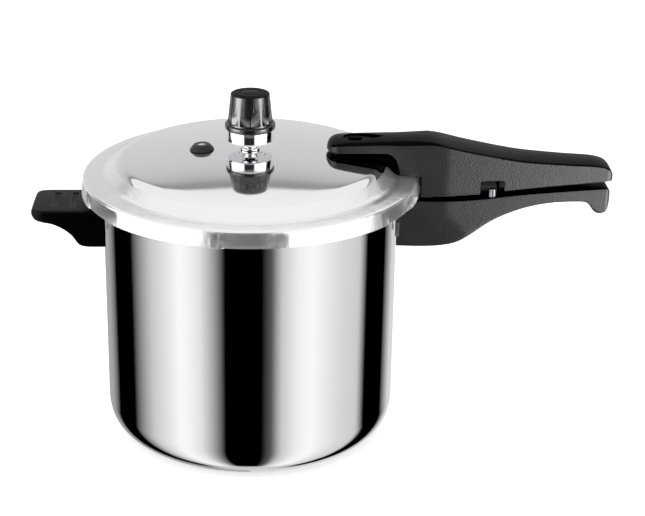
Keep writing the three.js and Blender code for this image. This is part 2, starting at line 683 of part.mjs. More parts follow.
// A perforated cup round the foot of the vent pipe, which keeps food out of its bore.
function ventStrainer() {
  const top = VENT_NUT_TOP - VENT_NUT - FIT;
  const foot = APEX_Z - LID_WALL - VENT_STUD;
  const bottom = foot - 2.5;
  const cup = turned([
    [0, bottom],
    [VENT_THREAD + 0.6, bottom],
    [VENT_THREAD + 1.6, bottom + 1],
    [VENT_THREAD + 1.6, top],
    [VENT_THREAD + FIT, top],
    [VENT_THREAD + FIT, bottom + 1.3],
    [0, bottom + 1.3],
  ]);
  const slots = [0, 60, 120].map((angle) => box(-9, 9, -0.8, 0.8, bottom - 1, foot - 0.4).rotate([0, 0, angle]));
  const middle = post(2, bottom - 1, bottom + 3, 0, 0, 12);
  return cut(cup, ...slots.map((slot) => cut(slot, post(2.6, bottom - 2, foot + 1, 0, 0, 12))), middle);
}

part("vent_strainer", chrome, ventStrainer());

const WEIGHT_STUD_TOP = CAP_TOP - CAP_WALL - 6;
const NUT_SEAT = WEIGHT_STUD_TOP + 1.5;
const COVER_SEAT = WEIGHT_STUD_TOP + 4.4;
const CAP_WELL = WEIGHT_STUD + 3.2; // radius of the well that holds the nut and its cover

function weight() {
  return turned([
    [SOCKET_RADIUS, WEIGHT_BOTTOM],
    [WEIGHT_RADIUS - 3, WEIGHT_BOTTOM],
    [WEIGHT_RADIUS - 0.8, WEIGHT_BOTTOM + 0.6],
    [WEIGHT_RADIUS, WEIGHT_BOTTOM + 1.6],
    [WEIGHT_RADIUS, WEIGHT_TOP],
    [WEIGHT_SHOULDER, WEIGHT_TOP],
    [WEIGHT_SHOULDER, WEIGHT_TOP + WEIGHT_SHOULDER_HEIGHT],
    [WEIGHT_STUD, WEIGHT_TOP + WEIGHT_SHOULDER_HEIGHT],
    [WEIGHT_STUD, WEIGHT_STUD_TOP],
    [0, WEIGHT_STUD_TOP],
    [0, SOCKET_TOP + 2],
    [SOCKET_RADIUS, SOCKET_TOP],
  ]);
}

part("regulator_weight", chrome, weight());

function regulatorCap() {
  const shoulder = CAP_BOTTOM + CAP_FLANGE_HEIGHT;
  const sideAngle = (CAP_TOP_RADIUS - CAP_FOOT_RADIUS) / (CAP_TOP - shoulder);
  const sideRadius = (z) => CAP_FOOT_RADIUS + sideAngle * (z - shoulder);
  const socket = WEIGHT_SHOULDER + FIT;
  const socketTop = CAP_BOTTOM + WEIGHT_SHOULDER_HEIGHT + FIT;
  const body = turned([
    [WEIGHT_STUD + FIT, socketTop],
    [socket, socketTop],
    [socket, CAP_BOTTOM],
    [CAP_FLANGE_RADIUS - 1, CAP_BOTTOM],
    [CAP_FLANGE_RADIUS, CAP_BOTTOM + 1.2],
    [CAP_FLANGE_RADIUS, shoulder - 1],
    [CAP_FLANGE_RADIUS - 0.8, shoulder],
    [CAP_FOOT_RADIUS, shoulder + 0.4],
    [sideRadius(CAP_TOP - 1.4), CAP_TOP - 1.4],
    [sideRadius(CAP_TOP) - 1, CAP_TOP - 0.3],
    [CAP_TOP_RADIUS - 3, CAP_TOP],
    [CAP_WELL, CAP_TOP],
    [CAP_WELL, NUT_SEAT],
    [WEIGHT_STUD + FIT, NUT_SEAT],
  ], CAP_PANELS * 2);
  const panels = Array.from({ length: CAP_PANELS }, (_, i) =>
    box(CAP_FOOT_RADIUS - 1.9, CAP_FOOT_RADIUS + 3, -2.7, 2.7, shoulder + 1.6, shoulder + 9.6)
      .rotate([0, 0, ((i + 0.5) * 360) / CAP_PANELS]));
  return cut(body, ...panels);
}

part("regulator_cap", bakelite, regulatorCap());

// The cover let into the top of the cap, over the nut that holds cap and weight together.
part("regulator_cap_cover", satinBakelite, turned([
  [0, COVER_SEAT],
  [CAP_WELL - FIT, COVER_SEAT],
  [CAP_WELL - FIT, CAP_TOP - 0.3],
  [0, CAP_TOP + 0.3],
]));
part("regulator_nut", zincSteel, post(WEIGHT_STUD + 2.4, NUT_SEAT + FIT, COVER_SEAT - FIT, 0, 0, 6));

// ---- Fusible safety plug ------------------------------------------------------------------------

function fusePlug() {
  const skin = APEX_Z - LID_WALL;
  return onDome(turned([
    [PLUG_CORE + FIT, skin - 3.3],
    [PLUG_RADIUS - 1, skin - 3.3],
    [PLUG_RADIUS, skin - 2.3],
    [PLUG_RADIUS, skin - FIT],
    [PLUG_NECK, skin - FIT],
    [PLUG_NECK, APEX_Z + FIT],
    [PLUG_RADIUS, APEX_Z + FIT],
    [PLUG_RADIUS, APEX_Z + 0.8],
    [PLUG_TOP_RADIUS, APEX_Z + PLUG_HEIGHT - 0.6],
    [PLUG_TOP_RADIUS - 1.6, APEX_Z + PLUG_HEIGHT],
    [PLUG_CORE + FIT, APEX_Z + PLUG_HEIGHT],
  ]), PLUG_X, FUSE_TILT);
}

part("fuse_plug", blackRubber, fusePlug());
part("fuse_core", chrome, onDome(turned([
  [0, APEX_Z - LID_WALL - 4],
  [PLUG_CORE, APEX_Z - LID_WALL - 4],
  [PLUG_CORE, APEX_Z + PLUG_HEIGHT - 0.3],
  [0, APEX_Z + PLUG_HEIGHT - 0.3],
]), PLUG_X, FUSE_TILT));

// ---- Float valve --------------------------------------------------------------------------------

const FLOAT_SEAT_BOTTOM = FLOAT_PAD_TOP - 8.5;
const FLOAT_SEAT_TOP = FLOAT_PAD_TOP + FIT + 1.6;
const FLOAT_SEAL_TOP = FLOAT_SEAT_BOTTOM - FLOAT_TRAVEL - FIT;
const FLOAT_SEAL = 1.8;
const FLOAT_NUT_TOP = domeZ(FLOAT_X + FLOAT_FLANGE + 1) - LID_WALL - FIT - 0.4;

part("float_seat", chrome, turned([
  [FLOAT_STEM + FIT, FLOAT_SEAT_BOTTOM],
  [FLOAT_THREAD, FLOAT_SEAT_BOTTOM],
  [FLOAT_THREAD, FLOAT_PAD_TOP + FIT],
  [FLOAT_FLANGE, FLOAT_PAD_TOP + FIT],
  [FLOAT_FLANGE, FLOAT_SEAT_TOP],
  [FLOAT_STEM + FIT, FLOAT_SEAT_TOP],
]).translate([FLOAT_X, 0, 0]));
part("float_seat_nut", chrome, cut(
  post(7.5, FLOAT_NUT_TOP - 3, FLOAT_NUT_TOP, FLOAT_X, 0, 6),
  post(FLOAT_THREAD + FIT, FLOAT_NUT_TOP - 4, FLOAT_NUT_TOP + 1, FLOAT_X),
));
part("float_seal", greyRubber,
  ring(FLOAT_STEM + FIT, 4.6, FLOAT_SEAL_TOP - FLOAT_SEAL, FLOAT_SEAL_TOP).translate([FLOAT_X, 0, 0]));

function floatPin() {
  const collarTop = FLOAT_SEAL_TOP - FLOAT_SEAL - FIT;
  const buttonBottom = FLOAT_SEAT_TOP + FIT;
  return turned([
    [0, collarTop - 1.8],
    [FLOAT_BUTTON, collarTop - 1.8],
    [FLOAT_BUTTON, collarTop],
    [FLOAT_STEM, collarTop],
    [FLOAT_STEM, buttonBottom],
    [FLOAT_BUTTON, buttonBottom],
    [FLOAT_BUTTON, buttonBottom + 5],
    [FLOAT_BUTTON - 0.8, buttonBottom + 5.8],
    [0, buttonBottom + 5.8],
  ]).translate([FLOAT_X, 0, 0]);
}

part("float_pin", chrome, floatPin());

// ---- Lid handle ---------------------------------------------------------------------------------

// Top line of the lid handle, from the nose to the tip.
const HANDLE_TOP = [
  [-64.9, 22.4],
  [-59.9, 25.1],
  [-51.9, 26.7],
  [-20.9, 27.6],
  [5.1, 28.1],
  [17.1, 25.8],
  [32.1, 21.9],
  [48.1, 18.1],
  [63.1, 14.9],
  [79.1, 12.3],
  [109.1, 9.9],
  [132.1, 8.5],
].map(onLid);

function lidHandle() {
  const top = smooth(HANDLE_TOP, 18);
  const nose = [[-NOSE_REACH, 17.9], [-NOSE_REACH + 0.6, 19.3], [-NOSE_REACH + 2, 20.9]].map(onLid);
  const tip = [[139.6, 6.9], [143.1, 4.7], [HANDLE_LENGTH, 1.1], [HANDLE_LENGTH, -3.9]].map(onLid);
  const edge = [...LID_HANDLE_EDGE].reverse();
  const overLid = [
    [CLEARANCE, -16.1],
    [CLEARANCE, 1.1],
    [-0.4, 2.2],
    [-14.4, 2.5],
    [-17.1, 9.7],
    [-19.3, 14.1],
    [-24.9, 17.9],
  ].map(onLid);
  const low = POT_HEIGHT - 30;
  const high = APEX_Z + 30;
  const outer = slab([...nose, ...top, ...tip, ...edge, ...overLid].reverse(), -30, 30)
    .intersect(plate(handlePlan(HANDLE_START, HANDLE_END, 0, 15), low, high));
  const roof = offsetLine(top, HANDLE_WALL);
  const start = HANDLE_START + HANDLE_WALL;
  const end = HANDLE_END - HANDLE_WALL;
  const hollow = slab([
    [end, low],
    [end, RING_OUTER_Z + 5.1 - HANDLE_WALL],
    ...roof.reverse().filter(([x]) => x > start + 3 && x < end - 2),
    [start, RING_OUTER_Z + 23.1 - HANDLE_WALL],
    [start, low],
  ], -30, 30).intersect(plate(handlePlan(start, end, HANDLE_WALL, 12), low, high));
  const window = post(6, APEX_Z, high, FLOAT_X);
  const notchStart = PIN_X - PIN_RADIUS - NOTCH_LENGTH * 0.42;
  const notch = box(notchStart, notchStart + NOTCH_LENGTH, -30, PIN_Y + PIN_RADIUS, low, PIN_TOP + NOTCH_HEIGHT);
  const bossTop = RING_OUTER_Z + 23.1;
  const boss = post(4.6, STRAP_TOP + FIT, bossTop, HANDLE_SCREW_X);
  const bossHole = post(SCREW_RADIUS + FIT, STRAP_TOP - 1, HANDLE_SCREW_TOP + 1, HANDLE_SCREW_X);
  const ribStart = SPRING_END + FIT;
  const rib = box(ribStart, ribStart + 2, -14, SLIDE_Y + 4, SPRING_Z - 8.2, SPRING_Z + 5.8);
  const shell = cut(outer, hollow, window, teardrop(), notch);
  return cut(union(shell, boss, rib.intersect(outer)), bossHole);
}

// The shallow teardrop recess round the float window.
function teardrop() {
  const side = smooth([[-8.8, 0], [-6.3, 6.6], [0.2, 9.6], [8.2, 7.6], [16.2, 3], [22.2, 0]], 14)
    .map(([fromFloat, y]) => [FLOAT_X + fromFloat, y]);
  const outline = [...side, ...side.slice(1, -1).reverse().map(([x, y]) => [x, -y])].reverse();
  return plate(outline, RING_OUTER_Z + 25.9, RING_OUTER_Z + 35);
}

// The strap's outline in side view: along the dome, down the slope and out over the rim.
const STRAP_THICKNESS = 2;
const STRAP_HALF_WIDTH = 9;
const STRAP_START = PLATEAU_RADIUS - 11;
const STRAP_END = HANDLE_SCREW_X + 8;
const STRAP_TOP = RING_INNER_Z + 1.6 + STRAP_THICKNESS;

function strapOutline(margin) {
  const under = [
    [STRAP_START, domeZ(STRAP_START) + FIT + 0.1],
    [PLATEAU_RADIUS, PLATEAU_Z + FIT + 0.5],
    [RING_INNER_RADIUS + 1.2, STRAP_TOP - STRAP_THICKNESS],
    [STRAP_END, STRAP_TOP - STRAP_THICKNESS],
  ];
  const low = offsetLine(under, margin);
  const high = offsetLine(under, -STRAP_THICKNESS - margin);
  low[0][0] -= margin;
  high[0][0] -= margin;
  low[3][0] += margin;
  high[3][0] += margin;
  return [...low, ...high.reverse()];
}

function lidStrap() {
  const strap = slab(strapOutline(0), -STRAP_HALF_WIDTH, STRAP_HALF_WIDTH);
  const rivetHoles = [-1, 1].map((side) =>
    post(RIVET_RADIUS + FIT, PLATEAU_Z - 9, PLATEAU_Z + 9, LID_BRACKET_RIVET_X, side * LID_BRACKET_RIVET_Y));
  return cut(strap, ...rivetHoles, post(SCREW_RADIUS + FIT, STRAP_TOP - 5, STRAP_TOP + 5, HANDLE_SCREW_X));
}

const STRAP_RIVET_SEAT = domeZ(PLATEAU_RADIUS - 9) + FIT + 0.2 + STRAP_THICKNESS + FIT;

function strapRivet(side) {
  const under = domeZ(LID_BRACKET_RIVET_X + RIVET_HEAD) - LID_WALL - FIT * 2;
  return turned([
    [0, under - RIVET_HEAD_HEIGHT],
    [RIVET_HEAD - 1, under - RIVET_HEAD_HEIGHT],
    [RIVET_HEAD, under - RIVET_HEAD_HEIGHT * 0.4],
    [RIVET_HEAD, under],
    [RIVET_RADIUS, under],
    [RIVET_RADIUS, STRAP_RIVET_SEAT],
    [RIVET_HEAD - 0.8, STRAP_RIVET_SEAT],
    [RIVET_HEAD - 0.8, STRAP_RIVET_SEAT + 0.9],
    [0, STRAP_RIVET_SEAT + 1.2],
  ], FASTENER_STEPS).translate([LID_BRACKET_RIVET_X, side * LID_BRACKET_RIVET_Y, 0]);
}

// The black under-part between the lid and the handle, with a tongue inside the handle's walls.
function handleBase() {
  const start = HANDLE_START + 1.2;
  const brimTop = RING_OUTER_Z + 17.6;
  const under = [
    [start, domeZ(start) + FIT],
    [FLOAT_X, domeZ(FLOAT_X) + FIT],
    [PLATEAU_RADIUS, PLATEAU_Z + FIT + 0.1],
    [RING_INNER_RADIUS, RING_INNER_Z + 1.5],
    [RING_INNER_RADIUS + 3, RING_INNER_Z + FIT],
    [RIM_RADIUS - RIM_ROUND, RING_OUTER_Z + FIT],
  ];
  const brimEnd = RING_INNER_RADIUS - 2.4;
  const brimChamfer = [5.5, 4];
  const brim = slab([
    ...under.slice(0, 3),
    [brimEnd, slopeZ(brimEnd) + FIT * 2],
    [brimEnd, brimTop - brimChamfer[1]],
    [brimEnd - brimChamfer[0], brimTop],
    [start, brimTop],
  ], -30, 30).intersect(plate(handlePlan(start, RIM_RADIUS, 1.2, 14), POT_HEIGHT, APEX_Z + 20));
  const tongueHalfWidth = NOSE_HALF_WIDTH - HANDLE_WALL - 1.4;
  const tongue = slab([
    ...under.slice(1),
    [RIM_RADIUS - RIM_ROUND, STRAP_TOP + 5],
    [RIM_RADIUS - 14, brimTop - 0.5],
    [FLOAT_X, brimTop + 0.1],
  ], -tongueHalfWidth, tongueHalfWidth);
  const strapRoom = slab([
    [STRAP_START - 1, POT_HEIGHT],
    [STRAP_END + 12, POT_HEIGHT],
    [STRAP_END + 12, STRAP_TOP],
    ...strapOutline(FIT).slice(4, 8),
  ].reverse(), -STRAP_HALF_WIDTH - FIT, STRAP_HALF_WIDTH + FIT);
  const rivetRoom = [-1, 1].map((side) =>
    post(RIVET_HEAD, POT_HEIGHT, STRAP_RIVET_SEAT + 1.8, LID_BRACKET_RIVET_X, side * LID_BRACKET_RIVET_Y));
  const floatRoom = post(FLOAT_FLANGE + 1.6, POT_HEIGHT, APEX_Z + 20, FLOAT_X);
  return cut(union(brim, tongue), strapRoom, ...rivetRoom, floatRoom);
}

const HANDLE_SCREW_TOP = RING_OUTER_Z + 20.6;

function handleScrew() {
  const head = STRAP_TOP - STRAP_THICKNESS - FIT;
  const slot = box(HANDLE_SCREW_X - 5, HANDLE_SCREW_X + 5, -0.5, 0.5, head - 4, head - 1.7);
  return cut(turned([
    [0, head - 2.8],
    [SCREW_HEAD - 0.8, head - 2.8],
    [SCREW_HEAD, head - 2],
    [SCREW_HEAD, head],
    [SCREW_RADIUS, head],
    [SCREW_RADIUS, HANDLE_SCREW_TOP - 1.5],
    [0, HANDLE_SCREW_TOP],
  ], FASTENER_STEPS).translate([HANDLE_SCREW_X, 0, 0]), slot);
}

// ---- Lock slide and its spring ------------------------------------------------------------------

const SLIDE_FRONT_Z = RING_OUTER_Z + 19.3;
const SLIDE_REAR_Z = RING_OUTER_Z - 0.9;
const SLIDE_TAIL = PIN_X + 11.8;
const SPRING_START = SLIDE_TAIL + FIT;
const SPRING_END = SPRING_START + SPRING_LENGTH;
const SPRING_Z = SLIDE_REAR_Z + 4.2;

function lockSlide() {
  const left = SLIDE_Y - SLIDE_WIDTH / 2;
  const right = SLIDE_Y + SLIDE_WIDTH / 2;
  const front = FLOAT_X + 10.7;
  const bend = HANDLE_SCREW_X + 6;
  const spine = [
    [front, SLIDE_FRONT_Z],
    [bend, SLIDE_FRONT_Z - SLIDE_FALL * (bend - front)],
    [bend + 20, SLIDE_REAR_Z],
    [SLIDE_TAIL, SLIDE_REAR_Z],
  ];
  const strip = slab([...spine, ...offsetLine(spine, -SLIDE_THICKNESS).reverse()], left, right);
  const forkLength = 7.5;
  const forkLow = SLIDE_FRONT_Z - SLIDE_FALL * forkLength;
  const fork = slab([
    [front, SLIDE_FRONT_Z],
    [front + forkLength, forkLow],
    [front + forkLength, forkLow + SLIDE_THICKNESS],
    [front, SLIDE_FRONT_Z + SLIDE_THICKNESS],
  ], left, 8);
  const pinSide = PIN_X + PIN_RADIUS + FIT;
  const pinTab = box(pinSide, pinSide + 2, left, right, PIN_TOP - 1.5, SLIDE_REAR_Z + 0.5);
  const tail = box(SLIDE_TAIL - SLIDE_THICKNESS, SLIDE_TAIL, left, right, SLIDE_REAR_Z, SLIDE_REAR_Z + 7);
  return union(strip, fork, pinTab, tail);
}

// A coil of wire with closed ends, laid along X.
class CoilCurve extends THREE.Curve {
  getPoint(share, target = new THREE.Vector3()) {
    const angle = share * SPRING_TURNS * Math.PI * 2;
    const run = SPRING_START + SPRING_WIRE / 2 + (SPRING_LENGTH - SPRING_WIRE) * share;
    return target.set(run, SLIDE_Y + SPRING_RADIUS * Math.cos(angle), SPRING_Z + SPRING_RADIUS * Math.sin(angle));
  }
}

function lockSpring() {
  const section = new THREE.Shape().absarc(0, 0, SPRING_WIRE / 2, 0, Math.PI * 2);
  const steps = SPRING_TURNS * 8;
  return toSolid(new THREE.ExtrudeGeometry(section, {
    extrudePath: new CoilCurve(), steps, curveSegments: 3, bevelEnabled: false,
  }));
}

part("lid_handle", bakelite, lidHandle());
part("lid_handle_base", satinBakelite, handleBase());
part("lid_strap", zincSteel, lidStrap());
[-1, 1].forEach((side, i) => part(`lid_strap_rivet_${i + 1}`, polishedAluminium, strapRivet(side)));
part("lid_handle_screw", zincSteel, handleScrew());
part("lock_slide", zincSteel, lockSlide());
part("lock_spring", zincSteel, lockSpring());

export default canner;
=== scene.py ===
import json
import math

import bmesh
import bpy
from mathutils import Matrix, Vector


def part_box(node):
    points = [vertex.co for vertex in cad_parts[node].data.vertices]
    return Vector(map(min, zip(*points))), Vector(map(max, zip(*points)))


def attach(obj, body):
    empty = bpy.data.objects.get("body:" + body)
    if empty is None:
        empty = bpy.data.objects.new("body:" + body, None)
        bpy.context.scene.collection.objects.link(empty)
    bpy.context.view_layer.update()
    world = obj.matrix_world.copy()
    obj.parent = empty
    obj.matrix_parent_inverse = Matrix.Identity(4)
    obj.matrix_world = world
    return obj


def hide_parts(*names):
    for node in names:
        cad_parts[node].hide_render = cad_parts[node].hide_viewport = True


# Pressure canner: fine surfaces, finishes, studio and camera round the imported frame.

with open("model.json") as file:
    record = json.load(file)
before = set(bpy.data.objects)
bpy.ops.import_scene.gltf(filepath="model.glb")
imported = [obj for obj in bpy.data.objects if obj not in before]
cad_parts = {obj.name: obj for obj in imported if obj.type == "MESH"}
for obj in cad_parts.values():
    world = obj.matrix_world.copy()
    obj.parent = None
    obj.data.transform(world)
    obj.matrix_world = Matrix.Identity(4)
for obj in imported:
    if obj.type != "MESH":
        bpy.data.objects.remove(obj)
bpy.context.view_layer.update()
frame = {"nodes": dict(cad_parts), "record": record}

MM = 0.001  # the pieces are drawn in millimetres and scaled once, when they are kept


def corners(node):
    """Lowest and highest corner of a CAD node, in millimetres."""
    low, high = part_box(node)
    return low / MM, high / MM


LID_LOW, LID_HIGH = corners("lid_shell")
POT_HIGH = corners("pot_shell")[1]
LID_HANDLE_LOW, LID_HANDLE_HIGH = corners("lid_handle")
POT_HANDLE_HIGH = corners("pot_handle")[1]
HELPER_LOW, HELPER_HIGH = corners("helper_handle")
CAP_LOW, CAP_HIGH = corners("regulator_cap")
WEIGHT_LOW, WEIGHT_HIGH = corners("regulator_weight")
VENT_LOW, VENT_HIGH = corners("vent_pipe")
PLUG_LOW, PLUG_HIGH = corners("fuse_plug")
FLOAT_LOW, FLOAT_HIGH = corners("float_pin")
LOCK_PIN_LOW, LOCK_PIN_HIGH = corners("lock_pin")

# ---- Sizes in millimetres -----------------------------------------------------------------------

SHELL_WALL = 2.2
RIM_RADIUS = LID_HIGH.x
SKIRT_BOTTOM = LID_LOW.z
APEX = LID_HIGH.z
RIM_ROUND = 3.5
RING_OUTER_Z = APEX - 17.3  # top of the rim ring, beside the skirt
RING_INNER_Z = RING_OUTER_Z + 0.9
RING_INNER_RADIUS = RIM_RADIUS - 17.4
PLATEAU_RADIUS = RING_INNER_RADIUS - 11.5
PLATEAU_Z = APEX - 6.4
DOME_RADIUS = (PLATEAU_RADIUS ** 2 + (APEX - PLATEAU_Z) ** 2) / (2 * (APEX - PLATEAU_Z))
LUGS = 6
SKIRT_LEAN = 1.5
DENT_DEPTH = 1.4
DENT_HALF_ANGLE = math.radians(12.6)
DENT_TOP = RING_OUTER_Z - 3.4

FLANGE_TOP = POT_HIGH.z
LUG_RADIUS = POT_HIGH.y
POT_RADIUS = RIM_RADIUS - 15.9
FLANGE_RADIUS = POT_RADIUS + 6
POT_CORNER = 25
POT_BASE = 3

SHELL_STEPS = 360
PART_STEPS = 96


# ---- Making meshes ------------------------------------------------------------------------------

def dome_z(radius):
    return APEX - DOME_RADIUS + math.sqrt(DOME_RADIUS ** 2 - radius ** 2)


def filleted(outline, steps=6):
    """An open outline of (x, y, corner radius) points with its corners rounded."""
    line = []
    for i, (x, y, radius) in enumerate(outline):
        here = Vector((x, y))
        if radius == 0 or i in (0, len(outline) - 1):
            line.append(here)
            continue
        back = Vector(outline[i - 1][:2]) - here
        ahead = Vector(outline[i + 1][:2]) - here
        half = back.angle(ahead) / 2
        reach = min(radius / math.tan(half), back.length * 0.49, ahead.length * 0.49)
        start = here + back.normalized() * reach
        end = here + ahead.normalized() * reach
        for k in range(steps + 1):
            t = k / steps
            line.append(start.lerp(here, t).lerp(here.lerp(end, t), t))
    return line


def set_edges(bm, angle=30):
    """Smooth faces with crisp edges where they meet at more than an angle."""
    limit = math.radians(angle)
    for face in bm.faces:
        face.smooth = True
    for edge in bm.edges:
        edge.smooth = len(edge.link_faces) == 2 and edge.calc_face_angle(0) < limit


def spun(line, steps=PART_STEPS, sweep=math.tau, start=0.0):
    """A profile of (radius, height) points turned about Z. A part turn is closed at both ends."""
    bm = bmesh.new()
    verts = [bm.verts.new((point[0], 0, point[1])) for point in line]
    edges = [bm.edges.new(pair) for pair in zip(verts, verts[1:])]
    full = sweep >= math.tau
    if not full:
        edges.append(bm.edges.new((verts[-1], verts[0])))
        bmesh.ops.rotate(bm, verts=verts, matrix=Matrix.Rotation(start, 3, "Z"))
    elif line[0][0] > 0:
        edges.append(bm.edges.new((verts[-1], verts[0])))
    bmesh.ops.spin(bm, geom=verts + edges, axis=(0, 0, 1), cent=(0, 0, 0), angle=sweep,
                   steps=steps, use_merge=full, use_duplicate=False)
    bmesh.ops.remove_doubles(bm, verts=bm.verts, dist=1e-4)
    if not full:
        bmesh.ops.holes_fill(bm, edges=[e for e in bm.edges if e.is_boundary], sides=0)
    bmesh.ops.recalc_face_normals(bm, faces=bm.faces)
    return bm


def lofted(stations, section):
    """A closed skin over stations along X. section(x) gives half an outline of (y, z) points."""
    halves = [section(x) for x in stations]
    rings = [half + [(-y, z) for y, z in reversed(half[1:-1])] for half in halves]
    around = len(rings[0])
    bm = bmesh.new()
    bmesh.ops.create_grid(bm, x_segments=len(stations) - 1, y_segments=around, size=0.5)
    for vert in bm.verts:
        i = round((vert.co.x + 0.5) * (len(stations) - 1))
        j = round((vert.co.y + 0.5) * around) % around
        y, z = rings[i][j]
        vert.co = (stations[i], y, z)
    bmesh.ops.remove_doubles(bm, verts=bm.verts, dist=1e-4)
    bmesh.ops.holes_fill(bm, edges=[e for e in bm.edges if e.is_boundary], sides=0)
    bmesh.ops.recalc_face_normals(bm, faces=bm.faces)
    return bm


def block(low, high, corner=0.0, corner_steps=4):
    """A box between two corners, with its edges rounded."""
    bm = bmesh.new()
    bmesh.ops.create_cube(bm, size=1)
    size = Vector(high) - Vector(low)
    bmesh.ops.scale(bm, vec=size, verts=bm.verts)
    bmesh.ops.translate(bm, vec=(Vector(low) + Vector(high)) / 2, verts=bm.verts)
    if corner:
        bmesh.ops.bevel(bm, geom=bm.edges, offset=corner, offset_type="OFFSET", segments=corner_steps,
                        profile=0.5, affect="EDGES", material=-1)
    return bm


def moved(bm, x=0.0, y=0.0, z=0.0):
    bmesh.ops.translate(bm, vec=(x, y, z), verts=bm.verts)
    return bm


def turned(bm, angle, axis="Z"):
    bmesh.ops.rotate(bm, verts=bm.verts, cent=(0, 0, 0), matrix=Matrix.Rotation(angle, 3, axis))
    return bm


def to_object(bm, name):
    mesh = bpy.data.meshes.new(name)
    bm.to_mesh(mesh)
    bm.free()
    obj = bpy.data.objects.new(name, mesh)
    bpy.context.scene.collection.objects.link(obj)
    return obj


def carved(bm, *tools, operation="DIFFERENCE"):
    """The mesh with other meshes cut out of it, or cut down to what they share."""
    obj = to_object(bm, "work")
    for tool in tools:
        cutter = to_object(tool, "cutter")
        change = obj.modifiers.new("cut", "BOOLEAN")
        change.operation = operation
        change.solver = "EXACT"
        change.object = cutter
        shape = obj.evaluated_get(bpy.context.evaluated_depsgraph_get())
        mesh = bpy.data.meshes.new_from_object(shape)
        obj.modifiers.clear()
        obj.data = mesh
        bpy.data.objects.remove(cutter)
    result = bmesh.new()
    result.from_mesh(obj.data)
    bpy.data.objects.remove(obj)
    bmesh.ops.remove_doubles(result, verts=result.verts, dist=1e-4)
    return result


def join(bm, other):
    """Adds another shape to a mesh."""
    mesh = bpy.data.meshes.new("joined")
    other.to_mesh(mesh)
    other.free()
    bm.from_mesh(mesh)
    bpy.data.meshes.remove(mesh)


def keep(bm, name, body, material, nodes, angle=30):
    """Make the drawn shape a piece of the scene that rides on a body and stands for CAD nodes."""
    set_edges(bm, angle)
    bmesh.ops.scale(bm, vec=(MM, MM, MM), verts=bm.verts)
    obj = to_object(bm, name)
    for finish in (material if isinstance(material, (list, tuple)) else [material]):
        obj.data.materials.append(finish)
    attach(obj, body)
    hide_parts(*nodes)
    return obj


def smoothstep(value, low, high):
    share = min(max((value - low) / (high - low), 0.0), 1.0)
    return share * share * (3 - 2 * share)


def through(points, x):
    """Height at x of a smooth line through (x, height) points."""
    if x <= points[0][0]:
        return points[0][1]
    if x >= points[-1][0]:
        return points[-1][1]
    i = max(k for k, point in enumerate(points[:-1]) if point[0] <= x)
    (x0, z0), (x1, z1) = points[i], points[i + 1]
    before = points[i - 1] if i > 0 else points[i]
    after = points[i + 2] if i + 2 < len(points) else points[i + 1]
    slope0 = (z1 - before[1]) / (x1 - before[0])
    slope1 = (after[1] - z0) / (after[0] - x0)
    span = x1 - x0
    t = (x - x0) / span
    return ((2 * t ** 3 - 3 * t ** 2 + 1) * z0 + (t ** 3 - 2 * t ** 2 + t) * span * slope0
            + (3 * t ** 2 - 2 * t ** 3) * z1 + (t ** 3 - t ** 2) * span * slope1)


def straight(points, x):
    """Height at x of a line of straight stretches through (x, height) points."""
    if x <= points[0][0]:
        return points[0][1]
    for (x0, z0), (x1, z1) in zip(points, points[1:]):
        if x <= x1:
            return z0 + (z1 - z0) * (x - x0) / (x1 - x0)
    return points[-1][1]


def spread(start, end, step):
    """Evenly spaced stations from start to end, end left out."""
    count = max(1, round((end - start) / step))
    return [start + (end - start) * i / count for i in range(count)]


# ---- Materials ----------------------------------------------------------------------------------

def linear(colour):
    """An sRGB hex colour as linear red, green, blue and alpha."""
    channels = [int(colour[i:i + 2], 16) / 255 for i in (1, 3, 5)]
    return [c / 12.92 if c <= 0.04045 else ((c + 0.055) / 1.055) ** 2.4 for c in channels] + [1.0]


def add(tree, kind, links=None, **settings):
    """A node with its settings; links maps an input to another node's output or to a value."""
    node = tree.nodes.new(kind)
    for key, value in settings.items():
        setattr(node, key, value)
    for key, value in (links or {}).items():
        if isinstance(value, bpy.types.NodeSocket):
            tree.links.new(value, node.inputs[key])
        else:
            node.inputs[key].default_value = value
    return node


def material(name, colour, metallic, roughness, **sockets):
    """A material whose constant values sit on the shader itself."""
    made = bpy.data.materials.new(name)
    made.use_nodes = True
    shader = made.node_tree.nodes["Principled BSDF"]
    shader.inputs["Base Color"].default_value = linear(colour)
    shader.inputs["Metallic"].default_value = metallic
    shader.inputs["Roughness"].default_value = roughness
    for key, value in sockets.items():
        shader.inputs[key.replace("_", " ")].default_value = value
    return made, made.node_tree, shader


def object_position(tree):
    return add(tree, "ShaderNodeTexCoord").outputs["Object"]


def noise(tree, position, size_mm, detail=2.0, stretch=(1, 1, 1)):
    """Noise whose lumps are about size_mm across, drawn out along an axis by stretch."""
    placed = add(tree, "ShaderNodeMapping", {"Vector": position, "Scale": stretch})
    return add(tree, "ShaderNodeTexNoise", {
        "Vector": placed.outputs["Vector"], "Scale": 1 / (size_mm * MM), "Detail": detail,
    }).outputs["Fac"]


def ramp(tree, factor, stops):
    """A ramp of (place, grey) stops."""
    node = add(tree, "ShaderNodeValToRGB", {"Fac": factor})
    band = node.color_ramp
    while len(band.elements) < len(stops):
        band.elements.new(0.5)
    for element, (place, shade) in zip(band.elements, stops):
        element.position = place
        element.color = (shade, shade, shade, 1)
    return node.outputs["Color"]


def scaled(tree, value, low, high):
    return add(tree, "ShaderNodeMapRange", {"Value": value, "To Min": low, "To Max": high}).outputs["Result"]


def bumped(tree, shader, height, depth_mm):
    """Relief on a surface, depth_mm deep."""
    bump = add(tree, "ShaderNodeBump", {"Height": height, "Distance": depth_mm * MM, "Strength": 1.0})
    tree.links.new(bump.outputs["Normal"], shader.inputs["Normal"])


